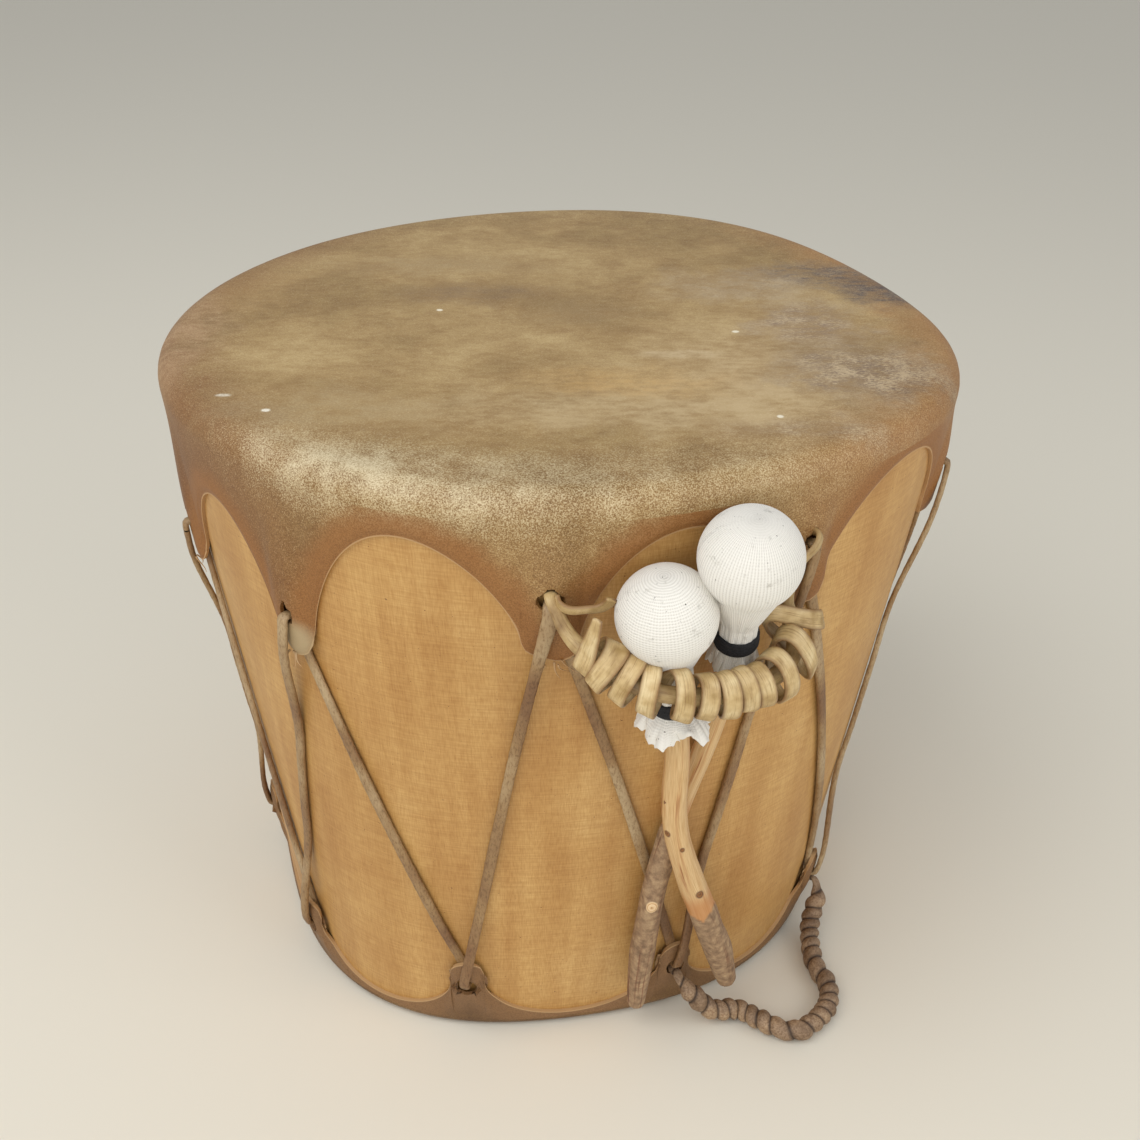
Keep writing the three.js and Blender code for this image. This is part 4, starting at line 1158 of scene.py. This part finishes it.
def stick(beater):
    """The branch: smooth where it is peeled, with swollen knots, and a little thicker where the bark is left."""
    _, _, route = beater_line(beater)
    line = smooth_line(route, STICK_PLACES)
    length = line_length(line) / MM
    steps = distances(route)
    radii = [beater["stick_radius"], beater["stick_radius"], *beater["radii"]]

    def from_knots(knots, share, turn, radius):
        nearest = np.full(len(share), 9.0)
        for place, angle, size in knots:
            around = (turn - math.radians(angle) + math.pi) % (2 * math.pi) - math.pi
            away = np.hypot((share - place) * length * 0.75, around * radius) / size
            nearest = np.minimum(nearest, away)
        return nearest

    def section(turn, share):
        radius = np.interp(share, steps / steps[-1], radii)
        ragged_start = 0.008 * np.sin(turn * 3) + 0.004 * np.sin(turn * 7) + 0.002 * np.sin(turn * 15)
        bark = smoothstep(share + ragged_start, beater["bark_from"] - 0.002, beater["bark_from"] + 0.003)
        knot = from_knots(beater["knots"], share, turn, radius)
        pale_knot = from_knots(beater["pale_knots"], share, turn, radius)
        lumps = 0.022 * np.sin(turn * 2 + share * 23) + 0.014 * np.sin(turn * 3 - share * 41)
        rough = bark * (0.012 * np.sin(turn * 5 + share * 40) + 0.01 * np.sin(turn * 4 - share * 90))
        swollen = 0.1 * np.exp(-(knot / 1.6) ** 2) - 0.1 * np.exp(-(knot / 0.55) ** 2)
        swollen = swollen + 0.14 * np.exp(-(pale_knot / 1.1) ** 2)
        tip = np.sqrt(np.clip((1 - share) / 0.014, 0, 1))
        reach = radius * (0.94 + 0.05 * bark + lumps + rough + swollen) * tip
        marks = {"bark": bark, "along": share - beater["bark_from"], "knot": knot, "pale_knot": pale_knot}
        return reach * MM * np.cos(turn), reach * MM * np.sin(turn), {**marks, "around": turn}

    return swept(f"{beater['name']}_branch", line, [np.array([1.0, 0, 0])], STICK_SIDES, section)


# Peeled willow, pale and smooth from handling, with a few long reddish streaks, brown knots, and an orange zone
# where the bark begins. The bark is thin, greyish brown and rubbed smooth.
branch, tree, shader, coordinates = new_material("peeled_willow")
marks = ("bark", "along", "around", "knot", "pale_knot")
bark, along, around, knot, pale_knot = (
    add(tree, "Attribute", attribute_name=mark).outputs["Fac"] for mark in marks
)
unrolled = add(tree, "CombineXYZ", {"X": around, "Y": along})
lengths = add(tree, "Mapping", {"Vector": unrolled, "Scale": (6, 9, 1)})
fibre = add(tree, "TexNoise", {"Vector": lengths, "Scale": 2.6, "Detail": 4})
streak = add(tree, "TexNoise", {"Vector": lengths, "Scale": 0.42, "Detail": 3, "Roughness": 0.6, "Distortion": 0.5})
furrow = add(tree, "TexNoise", {"Vector": coordinates, "Scale": 1 / (FURROW * MM), "Detail": 5, "Roughness": 0.6})
streaks = add(tree, "ValToRGB", {"Fac": streak},
              [(0.3, "#a06b3c"), (0.4, "#c59a68"), (0.5, "#d0ad7a"), (0.75, "#dcbe8f")])
fibres = add(tree, "ValToRGB", {"Fac": fibre}, [(0.3, "#e4d6c2"), (0.6, "#ffffff")])
wood = add(tree, "MixRGB", {"Fac": 1, "Color1": streaks, "Color2": fibres}, blend_type="MULTIPLY")
near_bark = add(tree, "MapRange", {"Value": along, "From Min": -0.085, "From Max": -0.03, "To Max": 0.75},
                interpolation_type="SMOOTHSTEP")
wood = add(tree, "MixRGB", {"Fac": near_bark, "Color1": wood, "Color2": linear("#b8783f")})
knot_rings = add(tree, "ValToRGB", {"Fac": add(tree, "Math", {0: knot, 1: 0.4}, operation="MULTIPLY")},
                 [(0.08, "#6b4629"), (0.24, "#b8956c"), (0.33, "#7b5635"), (0.52, "#ffffff")])
wood = add(tree, "MixRGB", {"Fac": 1, "Color1": wood, "Color2": knot_rings}, blend_type="MULTIPLY")
rind = add(tree, "ValToRGB", {"Fac": furrow}, [(0.3, "#73583f"), (0.5, "#927557"), (0.72, "#b29570")])
reddish = add(tree, "ValToRGB", {"Fac": streak}, [(0.32, "#b98672"), (0.46, "#ffffff")])
rind = add(tree, "MixRGB", {"Fac": 0.9, "Color1": rind, "Color2": reddish}, blend_type="MULTIPLY")
colour = add(tree, "MixRGB", {"Fac": bark, "Color1": wood, "Color2": rind})
pale_part = add(tree, "MapRange", {"Value": pale_knot, "From Min": 1.1, "From Max": 0.9})
pale_rings = add(tree, "ValToRGB", {"Fac": pale_knot},
                 [(0.18, "#a5713c"), (0.3, "#d9b98d"), (0.62, "#e2c59c"), (0.72, "#b98a55"), (0.85, "#dcbd92")])
colour = add(tree, "MixRGB", {"Fac": pale_part, "Color1": colour, "Color2": pale_rings})
gloss = add(tree, "MapRange", {"Value": bark, "To Min": 0.42, "To Max": 0.66})
deep = add(tree, "MapRange", {"Value": bark, "To Min": 0.08, "To Max": 0.5})
relief = add(tree, "Bump", {"Height": furrow, "Strength": deep, "Distance": 0.6 * MM})
plug(tree, shader, {"Base Color": colour, "Roughness": gloss, "Normal": relief})

# Black cotton tape, woven too finely to show, so its weave is drawn as a fine grain.
tape, tree, shader, coordinates = new_material("black_cotton_tape")
weave = add(tree, "TexNoise", {"Vector": coordinates, "Scale": 1 / (WEAVE * MM), "Detail": 3})
tone = add(tree, "ValToRGB", {"Fac": weave}, [(0.35, "#0b0b0d"), (0.65, "#242326")])
relief = add(tree, "Bump", {"Height": weave, "Strength": 0.5, "Distance": 0.3 * MM})
plug(tree, shader, {"Base Color": tone, "Roughness": 0.9, "Normal": relief})

for beater, wales, courses in ((FRONT_BEATER, 0.35, 0.65), (BACK_BEATER, 0.75, 0.25)):
    name = beater["name"]
    knit_cover = cover(beater)
    knit_cover.data.materials.append(knit(f"{name}_cotton_knit", wales, courses))
    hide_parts(f"{name}_head")
    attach(knit_cover, "root")
    wound_tape = tie(beater)
    wound_tape.data.materials.append(tape)
    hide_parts(f"{name}_tie")
    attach(wound_tape, "root")
    whole_stick = stick(beater)
    whole_stick.data.materials.append(branch)
    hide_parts(f"{name}_stick")
    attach(whole_stick, "root")
